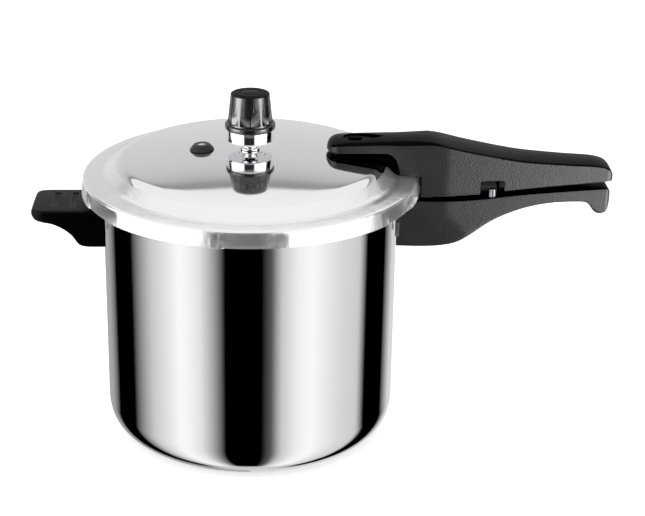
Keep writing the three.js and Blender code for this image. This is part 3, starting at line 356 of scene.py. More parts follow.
def polar(tree, position):
    """Radius from Z and height, for marks that run round a turned piece."""
    split = add(tree, "ShaderNodeSeparateXYZ", {"Vector": position})
    across = add(tree, "ShaderNodeVectorMath", {"Vector": position}, operation="MULTIPLY")
    across.inputs[1].default_value = (1, 1, 0)
    radius = add(tree, "ShaderNodeVectorMath", {"Vector": across.outputs["Vector"]}, operation="LENGTH")
    return radius.outputs["Value"], split.outputs["Z"]


def polished_aluminium(name, roughness, haze, wave_depth, lines_depth):
    """Drawn aluminium buffed on a wheel while it turned: a mirror with a trace of haze and fine rings."""
    made, tree, shader = material(name, "#f4f4f5", 1.0, roughness)
    position = object_position(tree)
    radius, height = polar(tree, position)
    rings = add(tree, "ShaderNodeCombineXYZ", {"X": radius, "Y": height}).outputs["Vector"]
    fine = noise(tree, rings, 0.7, 3.0)
    cloud = noise(tree, position, 45.0, 3.0)
    tree.links.new(scaled(tree, cloud, roughness - haze, roughness + haze), shader.inputs["Roughness"])
    wave = noise(tree, position, 60.0, 1.0)
    relief = {0: wave, 1: wave_depth / lines_depth, 2: fine}
    lumps = add(tree, "ShaderNodeMath", relief, operation="MULTIPLY_ADD")
    bumped(tree, shader, lumps.outputs["Value"], lines_depth)
    return made


def buffed_rim():
    """The pressed rim and skirt, buffed by hand: a smeared mirror with soft dents."""
    made, tree, shader = material("buffed_aluminium_rim", "#f3f3f4", 0.9, 0.2)
    position = object_position(tree)
    smear = noise(tree, position, 16.0, 3.0, (1, 1, 0.35))
    tree.links.new(scaled(tree, smear, 0.14, 0.34), shader.inputs["Roughness"])
    bumped(tree, shader, smear, 0.5)
    return made


def chrome_plate():
    """Nickel-chrome plate on brass: a clean, slightly cool mirror."""
    made, tree, shader = material("chrome_plate", "#f2f2f4", 1.0, 0.05)
    smudge = noise(tree, object_position(tree), 6.0, 3.0)
    tree.links.new(scaled(tree, smudge, 0.03, 0.09), shader.inputs["Roughness"])
    return made


def zinc_steel():
    """Zinc-plated steel sheet and screws: satin grey with a faint spangle."""
    made, tree, shader = material("zinc_plated_steel", "#b9bcc0", 1.0, 0.34)
    spangle = add(tree, "ShaderNodeTexVoronoi", {
        "Vector": object_position(tree), "Scale": 1 / (1.8 * MM),
    }).outputs["Color"]
    grey = add(tree, "ShaderNodeRGBToBW", {"Color": spangle}).outputs["Val"]
    tree.links.new(scaled(tree, grey, 0.28, 0.42), shader.inputs["Roughness"])
    return made


def bakelite(name, roughness, grain_mm, grain_depth, shine, colour="#0c0c0c"):
    """Compression-moulded phenolic: black and hard, with a spark-eroded grain where it is gripped."""
    made, tree, shader = material(name, colour, 0.0, roughness, IOR=1.6, Specular_IOR_Level=shine)
    position = object_position(tree)
    grain = noise(tree, position, grain_mm, 2.0)
    cloud = noise(tree, position, 22.0, 2.0)
    tree.links.new(scaled(tree, cloud, roughness - 0.05, roughness + 0.05), shader.inputs["Roughness"])
    bumped(tree, shader, grain, grain_depth)
    return made


def silicone(name, colour):
    """Moulded silicone rubber: matt, with a dusty bloom."""
    made, tree, shader = material(name, colour, 0.0, 0.6, IOR=1.41, Sheen_Weight=0.15)
    bloom = noise(tree, object_position(tree), 3.0, 3.0)
    tree.links.new(scaled(tree, bloom, 0.5, 0.72), shader.inputs["Roughness"])
    bumped(tree, shader, bloom, 0.03)
    return made


POT_ALUMINIUM = polished_aluminium("polished_aluminium_wall", 0.07, 0.02, 0.02, 0.0012)
LID_ALUMINIUM = polished_aluminium("polished_aluminium_dome", 0.06, 0.02, 0.02, 0.0012)
RIM_ALUMINIUM = buffed_rim()
CHROME = chrome_plate()
STEEL = zinc_steel()
CAP_BAKELITE = bakelite("polished_bakelite_cap", 0.2, 0.9, 0.006, 0.6)
GLOSS_BAKELITE = bakelite("smooth_bakelite", 0.36, 0.9, 0.01, 0.04, "#060606")
MATT_BAKELITE = bakelite("matt_bakelite", 0.5, 0.8, 0.03, 0.05, "#060606")
GRAINED_BAKELITE = bakelite("grained_bakelite", 0.42, 1.1, 0.16, 0.5, "#0a0a0a")
# The helper handle's own copy of the bakelite, darker and duller than the rest: painted shade that keeps it
# near black.
HELPER_BAKELITE = bakelite("shaded_helper_bakelite", 0.46, 0.9, 0.05, 0.12, "#030303")
BLACK_RUBBER = silicone("black_rubber", "#1b1b1b")
GREY_RUBBER = silicone("grey_silicone", "#c9c7c2")


# ---- Pot ----------------------------------------------------------------------------------------

def pot_shell():
    inner_corner = POT_CORNER - SHELL_WALL
    flange_wall = 2
    lug_wall = 3
    lug_degrees = 25
    outline = [
        (0, 0, 0),
        (POT_RADIUS, 0, POT_CORNER),
        (POT_RADIUS, FLANGE_TOP - flange_wall, 1.0),
        (FLANGE_RADIUS, FLANGE_TOP - flange_wall, 0.6),
        (FLANGE_RADIUS, FLANGE_TOP, 0.6),
        (POT_RADIUS - SHELL_WALL, FLANGE_TOP, 1.0),
        (POT_RADIUS - SHELL_WALL, POT_BASE, inner_corner),
        (0, POT_BASE, 0),
    ]
    bm = spun(filleted(outline, 14), SHELL_STEPS)
    lug = [
        (FLANGE_RADIUS - 1, FLANGE_TOP - lug_wall),
        (LUG_RADIUS, FLANGE_TOP - lug_wall),
        (LUG_RADIUS, FLANGE_TOP),
        (FLANGE_RADIUS - 1, FLANGE_TOP),
    ]
    for i in range(LUGS):
        start = math.radians(-90 + i * 360 / LUGS - lug_degrees / 2)
        join(bm, spun(lug, 12, math.radians(lug_degrees), start))
    keep(bm, "pot_body", "pot", POT_ALUMINIUM, ["pot_shell"])


pot_shell()


# ---- Lid ----------------------------------------------------------------------------------------

def dent(vert):
    """How far a lug dent pushes a point of the skirt inward."""
    radius = math.hypot(vert.co.x, vert.co.y)
    if radius < RIM_RADIUS - SHELL_WALL - 1 or vert.co.z > DENT_TOP + 1:
        return 0.0
    angle = math.atan2(vert.co.y, vert.co.x) + math.pi / 2
    spacing = math.tau / LUGS
    offset = (angle + spacing / 2) % spacing - spacing / 2
    away = abs(offset)
    drop = (DENT_TOP - vert.co.z) / (DENT_TOP - SKIRT_BOTTOM)
    half = DENT_HALF_ANGLE * (1 - 0.26 * max(drop, 0) ** 2)
    side = smoothstep(half - away, 0, math.radians(2.0 if offset < 0 else 4.5))
    return DENT_DEPTH * side * smoothstep(DENT_TOP - vert.co.z, 0, 1.2)


def lid_shell():
    dome_edge = PLATEAU_RADIUS - 9
    radii = [dome_edge * i / 14 for i in range(15)]
    dome = [(radius, dome_z(radius), 0) for radius in radii]
    under = [(radius, dome_z(radius) - SHELL_WALL, 0) for radius in radii]
    skirt = [
        (RIM_RADIUS - SKIRT_LEAN * (z - SKIRT_BOTTOM) / 14, z, 0)
        for z in spread(RING_OUTER_Z - RIM_ROUND - 1.6, SKIRT_BOTTOM + 0.6, 0.9)
    ]
    inner_skirt = [(RIM_RADIUS - SHELL_WALL, z, 0) for z in spread(SKIRT_BOTTOM + 0.6, DENT_TOP, 0.9)]
    outline = [
        *dome,
        (PLATEAU_RADIUS + 0.4, PLATEAU_Z - 0.1, 14),
        (RING_INNER_RADIUS + 0.4, RING_INNER_Z - 0.5, 7),
        (RING_INNER_RADIUS + 7, RING_OUTER_Z + 0.5, 20),
        (RIM_RADIUS - SKIRT_LEAN, RING_OUTER_Z - 0.6, 5.5),
        *skirt,
        (RIM_RADIUS, SKIRT_BOTTOM, 0.5),
        (RIM_RADIUS - SHELL_WALL, SKIRT_BOTTOM, 0.5),
        *inner_skirt,
        (RIM_RADIUS - SHELL_WALL, RING_OUTER_Z - SHELL_WALL, 1.3),
        (RING_INNER_RADIUS - 0.6, RING_INNER_Z - SHELL_WALL, 5),
        (PLATEAU_RADIUS - 1, PLATEAU_Z - SHELL_WALL, 5),
        *reversed(under),
    ]
    bm = spun(filleted(outline, 9), SHELL_STEPS * 2)
    for vert in bm.verts:
        push = dent(vert)
        if push:
            radius = math.hypot(vert.co.x, vert.co.y)
            vert.co.x *= (radius - push) / radius
            vert.co.y *= (radius - push) / radius
    seam = PLATEAU_RADIUS + 4
    for face in bm.faces:
        middle = face.calc_center_median()
        face.material_index = int(math.hypot(middle.x, middle.y) > seam)
    keep(bm, "lid_body", "lid", [LID_ALUMINIUM, RIM_ALUMINIUM], ["lid_shell"])


lid_shell()


# ---- Regulator, vent pipe, safety plug and float ------------------------------------------------

def vent_pipe():
    top = APEX + 6.1
    bore = 1.6
    thread = 5
    flange = 7.75
    collar = 6.35
    groove = 4.85
    outline = [
        (bore, VENT_LOW.z, 0),
        (thread, VENT_LOW.z, 0.5),
        (thread, APEX + 0.3, 0),
        (flange, APEX + 0.3, 0.2),
        (flange, APEX + 1.4, 0.5),
        (collar, APEX + 2.1, 0.5),
        (collar, APEX + 3.1, 0.5),
        (groove, APEX + 3.6, 0.3),
        (groove, APEX + 4.0, 0.3),
        (collar, APEX + 4.5, 0.5),
        (collar, top, 0.6),
        (3.6, top, 0.2),
        (3.6, VENT_HIGH.z - 2, 0.6),
        (2.2, VENT_HIGH.z, 0.2),
        (bore, VENT_HIGH.z, 0),
    ]
    keep(spun(filleted(outline, 4)), "vent_pipe_fine", "lid", CHROME, ["vent_pipe"])


def weight():
    top = CAP_LOW.z - 0.3
    radius = WEIGHT_HIGH.y
    bore = 4.2
    boss = 10
    outline = [
        (bore, WEIGHT_LOW.z + 3.4, 0),
        (8.2, WEIGHT_LOW.z + 0.9, 0.3),
        (12.6, WEIGHT_LOW.z + 0.9, 0.2),
        (13.4, WEIGHT_LOW.z, 0.3),
        (17.2, WEIGHT_LOW.z, 0.6),
        (radius, WEIGHT_LOW.z + 1.6, 0.8),
        (radius, top, 0.4),
        (boss, top, 0),
        (boss, top + 5, 0.3),
        (5, top + 5, 0),
        (5, WEIGHT_HIGH.z, 0.4),
        (0, WEIGHT_HIGH.z, 0),
        (0, VENT_HIGH.z + 3, 0),
        (bore, VENT_HIGH.z + 1, 0),
    ]
    keep(spun(filleted(outline, 6)), "weight_body", "regulator", CHROME, ["regulator_weight"])


def cap():
    low = CAP_LOW.z
    top = CAP_HIGH.z
    shoulder = low + 4
    foot = 17
    crown = 14.6
    hole = 8.2
    panels = 12
    panel_half = 3.7
    panel_floor = foot - 1.15
    outline = [
        (5.3, low + 5.3, 0),
        (10.3, low + 5.3, 0),
        (10.3, low, 0.3),
        (CAP_HIGH.y, low, 1.0),
        (CAP_HIGH.y, shoulder, 1.5),
        (foot, shoulder, 0.5),
        (crown, top - 0.4, 1.1),
        (11.6, top, 0.2),
        (11.1, top - 0.5, 0.1),
        (10.6, top, 0.2),
        (hole, top, 0.1),
        (hole, top - 4.5, 0),
        (5.3, top - 4.5, 0),
    ]
    body = spun(filleted(outline, 6), PART_STEPS * 2)
    cutters = []
    for i in range(panels):
        cutter = block((panel_floor, -panel_half, shoulder + 1.3), (foot + 4, panel_half, shoulder + 9.6),
                       0.3, 2)
        cutters.append(turned(cutter, math.radians((i + 0.5) * 360 / panels)))
    drop = spun([(0, 0), (1.1, 0.5), (1.8, 1.9), (1.5, 3.9), (0.8, 6.4), (0, 9.4)])
    drop = turned(drop, math.radians(-6.5), "Y")
    drop = turned(moved(drop, 16.4, 0, shoulder + 10.2), math.radians(-78))
    bm = carved(body, *cutters, drop)
    bm.normal_update()
    # Faces on the crown take the darker, low-shine bakelite: painted shade, which keeps the top dark where
    # the cap's polished bakelite would mirror the bright wall behind.
    for face in bm.faces:
        face.material_index = 1 if face.normal.z > 0.5 and face.calc_center_median().z > top - 1 else 0
    return keep(bm, "cap_body", "regulator", [CAP_BAKELITE, GLOSS_BAKELITE],
                ["regulator_cap"])


def cap_cover():
    low, high = corners("regulator_cap_cover")
    radius = 7.9
    outline = [
        (0, low.z, 0),
        (radius, low.z, 0),
        (radius, high.z - 0.5, 0.3),
        (0, high.z, 0),
    ]
    # The cover takes the same darker, low-shine bakelite as the cap's crown: painted shade.
    keep(spun(filleted(outline, 4)), "cap_cover_body", "regulator", GLOSS_BAKELITE,
         ["regulator_cap_cover"])


def safety_plug():
    centre = (PLUG_LOW.x + PLUG_HIGH.x) / 2
    tilt = math.asin(centre / DOME_RADIUS)
    bore = 3.0
    neck = 5.4
    flange = 9.2
    outline = [
        (bore, -5.5, 0),
        (flange, -5.5, 1.2),
        (flange, -2.5, 0),
        (neck, -2.5, 0),
        (neck, 0.3, 0),
        (flange, 0.3, 0.2),
        (flange, 0.8, 0.3),
        (6.1, 4.5, 1.3),
        (bore, 4.6, 0),
    ]
    core = [
        (0, -6.2, 0),
        (bore - 0.1, -6.2, 0.3),
        (bore - 0.1, 4.3, 0.3),
        (0, 4.3, 0),
    ]
    for name, line, finish, slot, node in (
        ("safety_plug_body", outline, BLACK_RUBBER, "black_rubber", "fuse_plug"),
        ("safety_plug_core", core, CHROME, "chrome", "fuse_core"),
    ):
        bm = turned(spun(filleted(line, 5)), tilt, "Y")
        keep(moved(bm, centre, 0, dome_z(centre)), name, "lid", finish, [node])


def float_pin():
    centre = (FLOAT_LOW.x + FLOAT_HIGH.x) / 2
    button = 4.2
    stem = 2.4
    outline = [
        (0, FLOAT_LOW.z, 0),
        (button, FLOAT_LOW.z, 0.4),
        (button, FLOAT_LOW.z + 1.8, 0.3),
        (stem, FLOAT_LOW.z + 1.8, 0),
        (stem, FLOAT_HIGH.z - 5.8, 0),
        (button, FLOAT_HIGH.z - 5.8, 0.3),
        (button, FLOAT_HIGH.z, 1.0),
        (0, FLOAT_HIGH.z, 0),
    ]
    bm = moved(spun(filleted(outline, 5), 48), centre)
    keep(bm, "float_indicator", "float", CHROME, ["float_pin"])


def lock_pin():
    centre = (LOCK_PIN_LOW + LOCK_PIN_HIGH) / 2
    radius = 2.45
    outline = [
        (0, LOCK_PIN_LOW.z, 0),
        (radius, LOCK_PIN_LOW.z, 0),
        (radius, LOCK_PIN_HIGH.z, 1.4),
        (0, LOCK_PIN_HIGH.z, 0),
    ]
    bm = moved(spun(filleted(outline, 6), 48), centre.x, centre.y)
    keep(bm, "lock_pin_fine", "pot", STEEL, ["lock_pin"])


vent_pipe()
weight()
cap_body = cap()
cap_cover()
safety_plug()
float_pin()
lock_pin()

# ---- Long handles -------------------------------------------------------------------------------

NOSE_X = LID_HANDLE_LOW.x
TIP_X = LID_HANDLE_HIGH.x
HANDLE_Z = RING_OUTER_Z
NOSE_HALF_WIDTH = 14.8
BULGE_HALF_WIDTH = 17.8
TIP_HALF_WIDTH = 13
ROOT_TURN = math.radians(4)
NOSE_REACH = 10
RIDGE_X = POT_RADIUS + 36  # the sides turn here from facing the pot to facing the tip
HANDLE_WALL = 3.0
CRISP_ANGLE = 32  # handle edges sharper than this stay crisp

# Lines of the lid handle as (beyond the rim, above the rim ring).
TOP_LINE = [(-69.9, 19.4), (-69.2, 21.8), (-67.6, 23.8), (-65, 25.3), (-61, 26.2), (-50, 26.9), (-20.9, 27.6),
            (5.1, 28.1), (13, 26.9), (22, 24.4), (32.1, 21.9), (48.1, 18.5), (63.1, 15.6), (79.1, 13.1),
            (109.1, 10.5), (132.1, 9.0), (139.6, 7.2), (143.1, 5.1), (145.1, 1.6)]
EDGE_LINE = [(-70, 17.9), (-24.9, 17.9), (-21.6, 16.2), (-18.6, 12.6), (-17.0, 8.6), (-16.0, 3.6),
             (-14.4, 1.3), (-1.2, 0.9), (0.5, 0.6), (0.85, 0.2), (0.9, -16.1), (44.7, -13.7), (64.6, -11.2),
             (93.1, -8.5), (141.7, -4.6), (145.1, -4.3)]


def half_width(x, inset=0.0):
    """Plan of both long handles: widening over the rim, then tapering straight to the tip."""
    if x < RIDGE_X:
        straight_side = BULGE_HALF_WIDTH - (RIDGE_X - x) * math.tan(ROOT_TURN)
        rounding = smoothstep(x, PLATEAU_RADIUS - 14, RIM_RADIUS + 6)
        side = NOSE_HALF_WIDTH + (straight_side - NOSE_HALF_WIDTH) * rounding
    else:
        side = BULGE_HALF_WIDTH - (BULGE_HALF_WIDTH - TIP_HALF_WIDTH) * (x - RIDGE_X) / (TIP_X - RIDGE_X)
    return side - inset


def rounded_end(x, end, reach, power=2.0):
    """1 along a handle, falling to 0 at its end over a reach, as an ellipse does."""
    share = min(max((reach - abs(x - end)) / reach, 0.0), 1.0)
    return (1 - share ** power) ** (1 / power)


def handle_section(half, top, bottom, crown, shoulder, foot):
    """Half an outline: crowned top, round shoulder, upright side, small foot, flat underside."""
    shoulder = min(shoulder, half * 0.8, (top - bottom) * 0.45)
    foot = min(foot, half * 0.5, (top - bottom) * 0.2)
    flat = half - shoulder
    edge_z = top - crown * (flat / max(half, 1e-6)) ** 2
    points = [(flat * i / 6, top - crown * (flat * i / 6 / max(half, 1e-6)) ** 2) for i in range(7)]
    for i in range(1, 8):
        angle = math.radians(90 - 90 * i / 7)
        points.append((flat + shoulder * math.cos(angle), edge_z - shoulder + shoulder * math.sin(angle)))
    low = bottom + foot
    high = edge_z - shoulder
    points += [(half, high + (low - high) * i / 9) for i in range(1, 10)]
    points += [(half - foot * 0.3, bottom + foot * 0.3), (half - foot, bottom)]
    points += [((half - foot) * (3 - i) / 3, bottom) for i in range(1, 4)]
    return points


def lid_handle_outer(x):
    beyond = x - RIM_RADIUS
    width = half_width(x) * max(rounded_end(x, NOSE_X, NOSE_REACH, 2.3), 0.02)
    width -= 3.0 * (1 - rounded_end(x, TIP_X, 4))
    top = HANDLE_Z + through(TOP_LINE, beyond)
    bottom = HANDLE_Z + straight(EDGE_LINE, beyond)
    top = max(top, bottom + 0.6)
    crisp = smoothstep(beyond, -8, 26)
    shoulder = 5.5 - 4.2 * crisp
    crown = 1.6 - 0.6 * crisp
    return handle_section(width, top, bottom, crown, shoulder, 0.5)


def lid_handle_hollow(x):
    beyond = x - RIM_RADIUS
    end = rounded_end(x, NOSE_X + HANDLE_WALL, NOSE_REACH - HANDLE_WALL)
    width = (half_width(x) - HANDLE_WALL) * max(end, 0.05)
    top = HANDLE_Z + through(TOP_LINE, beyond) - HANDLE_WALL
    if beyond < -60:  # the roof comes down towards the nose
        top = min(top, HANDLE_Z + 20.4 + (beyond + 67) * 0.4)
    return handle_section(width, top, HANDLE_Z - 60, 1.0, 2.0, 0.2)


def teardrop(low, high):
    """The recess round the float window: a round end towards the nose and a point towards the grip."""
    centre = (FLOAT_LOW.x + FLOAT_HIGH.x) / 2 + 6.7
    half_length = 15.5
    widest = 9.8 * 1.12
    bm = bmesh.new()
    bmesh.ops.create_circle(bm, cap_ends=True, segments=48, radius=1)
    for vert in bm.verts:
        along = vert.co.x
        narrowing = max(0.5 - 0.5 * along, 0) ** 0.55
        vert.co = (centre + half_length * along, widest * vert.co.y * narrowing, low)
    grown = bmesh.ops.extrude_face_region(bm, geom=bm.faces[:])
    top = [part for part in grown["geom"] if isinstance(part, bmesh.types.BMVert)]
    bmesh.ops.translate(bm, vec=(0, 0, high - low), verts=top)
    bmesh.ops.recalc_face_normals(bm, faces=bm.faces)
    return bm


def cylinder(radius, low, high, x=0.0, y=0.0, segments=48):
    bm = bmesh.new()
    bmesh.ops.create_cone(bm, cap_ends=True, segments=segments, radius1=radius, radius2=radius,
                          depth=high - low)
    return moved(bm, x, y, (low + high) / 2)


def pot_wall():
    """The pot's outside, for cutting the handles' roots to it."""
    return cylinder(POT_RADIUS + 0.1, FLANGE_TOP - 80, FLANGE_TOP + 20, segments=180)


def screw_well(node):
    """The well under a handle that takes the head of its screw."""
    low, high = corners(node)
    return cylinder(4.6, FLANGE_TOP - 80, FLANGE_TOP - 39.5, abs(low.x + high.x) / 2)


def split_top_and_sides(bm, line, drop):
    """Slot 1 for the grained sides, slot 0 for the smooth top, which lies near a line of heights."""
    for face in bm.faces:
        middle = face.calc_center_median()
        face.normal_update()
        smooth = face.normal.z > 0.35 or middle.z > line(middle.x) - drop
        face.material_index = 0 if smooth else 1


def lid_handle():
    nose = [NOSE_X + NOSE_REACH * (1 - math.cos(math.pi / 2 * i / 14)) for i in range(14)]
    breaks = [RIM_RADIUS + beyond for beyond, _ in EDGE_LINE[1:-1]]
    tip = [TIP_X - 6 + 6 * math.sin(math.pi / 2 * i / 8) for i in range(1, 9)]
    even = spread(NOSE_X + NOSE_REACH, TIP_X - 6, 2.5)
    stations = sorted(set(round(x, 3) for x in nose + breaks + tip + even))
    stations = [x for x, after in zip(stations, stations[1:] + [1e9]) if after - x > 0.03 or x in breaks]
    outer = lofted(stations, lid_handle_outer)
    inner_stations = [NOSE_X + 3 + 12 * (1 - math.cos(math.pi / 2 * i / 8)) for i in range(8)]
    inner_stations += spread(NOSE_X + 15, TIP_X - 8, 5) + [TIP_X - 6, TIP_X - 3.4]
    hollow = lofted(inner_stations, lid_handle_hollow)
    float_x = (FLOAT_LOW.x + FLOAT_HIGH.x) / 2
    pin_x = (LOCK_PIN_LOW.x + LOCK_PIN_HIGH.x) / 2
    notch = block((pin_x - 10.3, -30, HANDLE_Z - 40), (pin_x + 8.5, -8.6, LOCK_PIN_HIGH.z + 8), 2.2)
    window = cylinder(6, HANDLE_Z + 15, HANDLE_Z + 40, float_x)
    recess = teardrop(HANDLE_Z + 25.5, HANDLE_Z + 40)
    inner_rib = block((RIM_RADIUS + 22, 7, HANDLE_Z - 13.6), (TIP_X - 12, 9, HANDLE_Z + 2), 0.2, 1)
    for vert in inner_rib.verts:
        if vert.co.z < HANDLE_Z - 8:
            vert.co.z = HANDLE_Z + straight(EDGE_LINE, vert.co.x - RIM_RADIUS) - HANDLE_WALL
    end_wall = block((RIM_RADIUS - 1, -13.8, HANDLE_Z - 15.9), (RIM_RADIUS + 3.6, 13.8, HANDLE_Z + 1.4),
                     0.2, 1)
    rim_room = cylinder(RIM_RADIUS + 0.8, HANDLE_Z - 60, HANDLE_Z + 60, segments=360)
    bm = carved(outer, hollow, recess, window, notch)
    join(bm, inner_rib)
    join(bm, carved(end_wall, rim_room))
    split_top_and_sides(bm, lambda x: HANDLE_Z + through(TOP_LINE, x - RIM_RADIUS), 2.0)
    return keep(bm, "lid_handle_shell", "lid", [GLOSS_BAKELITE, GRAINED_BAKELITE],
                ["lid_handle"], angle=CRISP_ANGLE)


def base_section(x):
    width = half_width(x, 1.3) * max(rounded_end(x, NOSE_X + 1.2, NOSE_REACH - 1, 2.3), 0.02)
    if x < PLATEAU_RADIUS - 3:
        bottom = dome_z(x) + 0.35
    else:
        slope = (RING_INNER_Z - PLATEAU_Z) / (RING_INNER_RADIUS - PLATEAU_RADIUS)
        bottom = min(dome_z(x), PLATEAU_Z + max(0, x - PLATEAU_RADIUS) * slope) + 0.6
    top = HANDLE_Z + min(17.8, straight(EDGE_LINE, x - RIM_RADIUS) - 0.15)
    return handle_section(width, max(top, bottom + 1), bottom, 0.0, 0.3, 0.8)


def handle_base():
    start = NOSE_X + 1.2
    reach = NOSE_REACH - 1
    nose = [start + reach * (1 - math.cos(math.pi / 2 * i / 10)) for i in range(10)]
    stations = nose + spread(start + reach, PLATEAU_RADIUS, 3)
    stations += spread(PLATEAU_RADIUS, RING_INNER_RADIUS + 3, 1.5)
    bm = lofted(stations, base_section)
    keep(bm, "handle_under_part", "lid", MATT_BAKELITE, ["lid_handle_base"], angle=40)


# Lines of the pot handle as (beyond the pot's wall, above the flange).
POT_TOP_LINE = [(-8, -11.9), (34, -11.5), (60, -10.4), (88, -7.4), (120, -5.1), (150, -3.4), (157.2, -3.2),
                (159.3, -4.2), (160, -6.0)]
POT_EDGE_LINE = [(-8, -49.4), (20, -49.3), (34.9, -47.9), (45.5, -45.0), (55.5, -38.8), (70.2, -28.7),
                 (85, -21.7), (99.7, -17.1), (114.6, -14.5), (126, -13.8), (138, -13.8), (142.6, -14.6),
                 (145.4, -17.2), (147.6, -20.6), (150.4, -22.8), (153.4, -23.4), (156.8, -22.4),
                 (159.2, -18.8), (160, -12.6)]


def pot_handle_section(x):
    beyond = x - POT_RADIUS
    width = half_width(x, 1.0) - 2.5 * (1 - rounded_end(x, POT_HANDLE_HIGH.x, 3))
    top = FLANGE_TOP + through(POT_TOP_LINE, beyond)
    bottom = FLANGE_TOP + through(POT_EDGE_LINE, beyond)
    return handle_section(width, top, bottom, 0.3, 0.8, 0.8)


def pot_handle():
    tip_start = POT_HANDLE_HIGH.x - 4
    tip = [tip_start + 4 * math.sin(math.pi / 2 * i / 7) for i in range(1, 8)]
    stations = [POT_RADIUS - 8] + spread(POT_RADIUS - 6, tip_start, 2.2) + [tip_start] + tip
    body = lofted(stations, pot_handle_section)
    for vert in body.verts:
        ridge = RIDGE_X + 16 * smoothstep(FLANGE_TOP - vert.co.z, 20, 41)
        side = half_width(vert.co.x, 1.0)
        faced = BULGE_HALF_WIDTH - 1.0 - max(ridge - vert.co.x, 0) * math.tan(ROOT_TURN)
        faced -= max(vert.co.x - ridge, 0) * (BULGE_HALF_WIDTH - TIP_HALF_WIDTH) / (TIP_X - RIDGE_X)
        vert.co.y *= min(faced / side, 1.06)
    bm = carved(body, pot_wall(), screw_well("pot_handle_screw"))
    under_rim = block((POT_RADIUS - 2, -15.5, FLANGE_TOP - 13), (RIM_RADIUS + 3, 15.5, FLANGE_TOP - 7.2),
                      0.3, 1)
    rim_side = cylinder(RIM_RADIUS - 0.3, FLANGE_TOP - 40, FLANGE_TOP, segments=180)
    join(bm, carved(carved(under_rim, pot_wall()), rim_side, operation="INTERSECT"))
    split_top_and_sides(bm, lambda x: FLANGE_TOP + through(POT_TOP_LINE, x - POT_RADIUS), 0.6)
    grip = keep(bm, "pot_handle_grip", "pot", [GLOSS_BAKELITE, GRAINED_BAKELITE],
                ["pot_handle"], angle=CRISP_ANGLE)
    grip.visible_glossy = False
    return grip


HELPER_TOP = HELPER_HIGH.z
HELPER_END = -HELPER_LOW.x
HELPER_HALF_WIDTH = 24.9
# Lower line of the helper handle as (beyond the pot's wall, above the handle's top).
HELPER_EDGE_LINE = [(-8, -29.4), (8, -29.5), (14, -29.0), (18, -27.2), (22.4, -20.8), (28.6, -15.5),
                    (36.8, -11.4), (45.3, -9.6), (50.5, -8.2), (53.5, -5)]


def helper_section(x):
    beyond = x - POT_RADIUS
    width = HELPER_HALF_WIDTH - 7 * (1 - rounded_end(x, HELPER_END, 11))
    top = HELPER_TOP - 2.0 * (1 - rounded_end(x, HELPER_END, 3))
    bottom = HELPER_TOP + through(HELPER_EDGE_LINE, beyond)
    return handle_section(width, top, min(bottom, top - 1.0), 0.5, 1.8, 1.2)


def helper_handle():
    """Drawn on the side of the long handles and then turned to its own."""
    end_start = HELPER_END - 8
    end = [end_start + 8 * math.sin(math.pi / 2 * i / 10) for i in range(1, 11)]
    stations = [POT_RADIUS - 8] + spread(POT_RADIUS - 6, end_start, 1.8) + [end_start] + end
    body = lofted(stations, helper_section)
    recesses = [
        block((start, -16, HELPER_TOP - 1.1), (start + 5, 16, HELPER_TOP + 5), 0.6)
        for start in (POT_RADIUS + 20, POT_RADIUS + 34)
    ]
    bm = turned(carved(body, pot_wall(), screw_well("helper_screw"), *recesses), math.pi)
    grip = keep(bm, "helper_grip", "pot", HELPER_BAKELITE, ["helper_handle"],
                angle=CRISP_ANGLE)
    grip.visible_glossy = False
    return grip


handle_base()
lid_grip = lid_handle()
pot_grip = pot_handle()
helper_handle()

# ---- CAD pieces that stay, with their finishes --------------------------------------------------

CAD_FINISHES = {
    "polished_aluminium": POT_ALUMINIUM,
    "chrome": CHROME,
    "zinc_steel": STEEL,
    "black_bakelite": GRAINED_BAKELITE,
    "satin_bakelite": GRAINED_BAKELITE,
    "black_rubber": BLACK_RUBBER,
    "grey_rubber": GREY_RUBBER,
}
BLACK_STEEL = material("blackened_steel", "#1a1a1b", 1.0, 0.5)[0]
for subpart in frame["record"]["subparts"]:
    cad_object = frame["nodes"][subpart["node"]]
    for held in cad_object.material_slots:
        held.material = CAD_FINISHES[subpart["material_slot"]]
for name in ("lock_slide", "lock_spring"):
    for held in frame["nodes"][name].material_slots:
        held.material = BLACK_STEEL


# ---- Studio -------------------------------------------------------------------------------------

def mix_colours(tree, factor, first, second):
    node = add(tree, "ShaderNodeMix", data_type="RGBA")
    tree.links.new(factor, node.inputs["Factor"])
    for name, value in (("A", first), ("B", second)):
        socket = [s for s in node.inputs if s.name == name and s.type == "RGBA"][0]
        if isinstance(value, bpy.types.NodeSocket):
            tree.links.new(value, socket)
        else:
            socket.default_value = value
    return [s for s in node.outputs if s.type == "RGBA"][0]


# Brightness of the studio by compass direction in degrees, 0 towards the camera and positive to its right.
LOW_PANELS = [
    (-180, 0.40), (-150, 0.38), (-140, 0.22), (-132, 0.0), (-107, 0.0), (-99, 0.22), (-84, 0.60),
    (-66, 0.85), (-58, 1.0), (-50, 0.95), (-40, 0.8), (-31, 0.45), (-20, 0.0), (9, 0.0), (17, 0.1), (25, 0.6),
    (38, 0.9), (50, 1.0), (62, 0.86), (76, 0.72), (95, 0.62), (104, 0.0), (131, 0.0), (140, 0.32),
    (150, 0.66), (180, 0.70),
]
HIGH_PANELS = [
    (-180, 0.7), (-135, 0.7), (-128, 0.0), (-112, 0.0), (-106, 0.9), (-92, 2.4), (-46, 2.4), (-31, 1.0),
    (-27, 0.02), (18, 0.02), (22, 1.0), (40, 2.4), (78, 2.4), (86, 0.9), (90, 0.0), (120, 0.0), (126, 0.7),
    (180, 0.7),
]
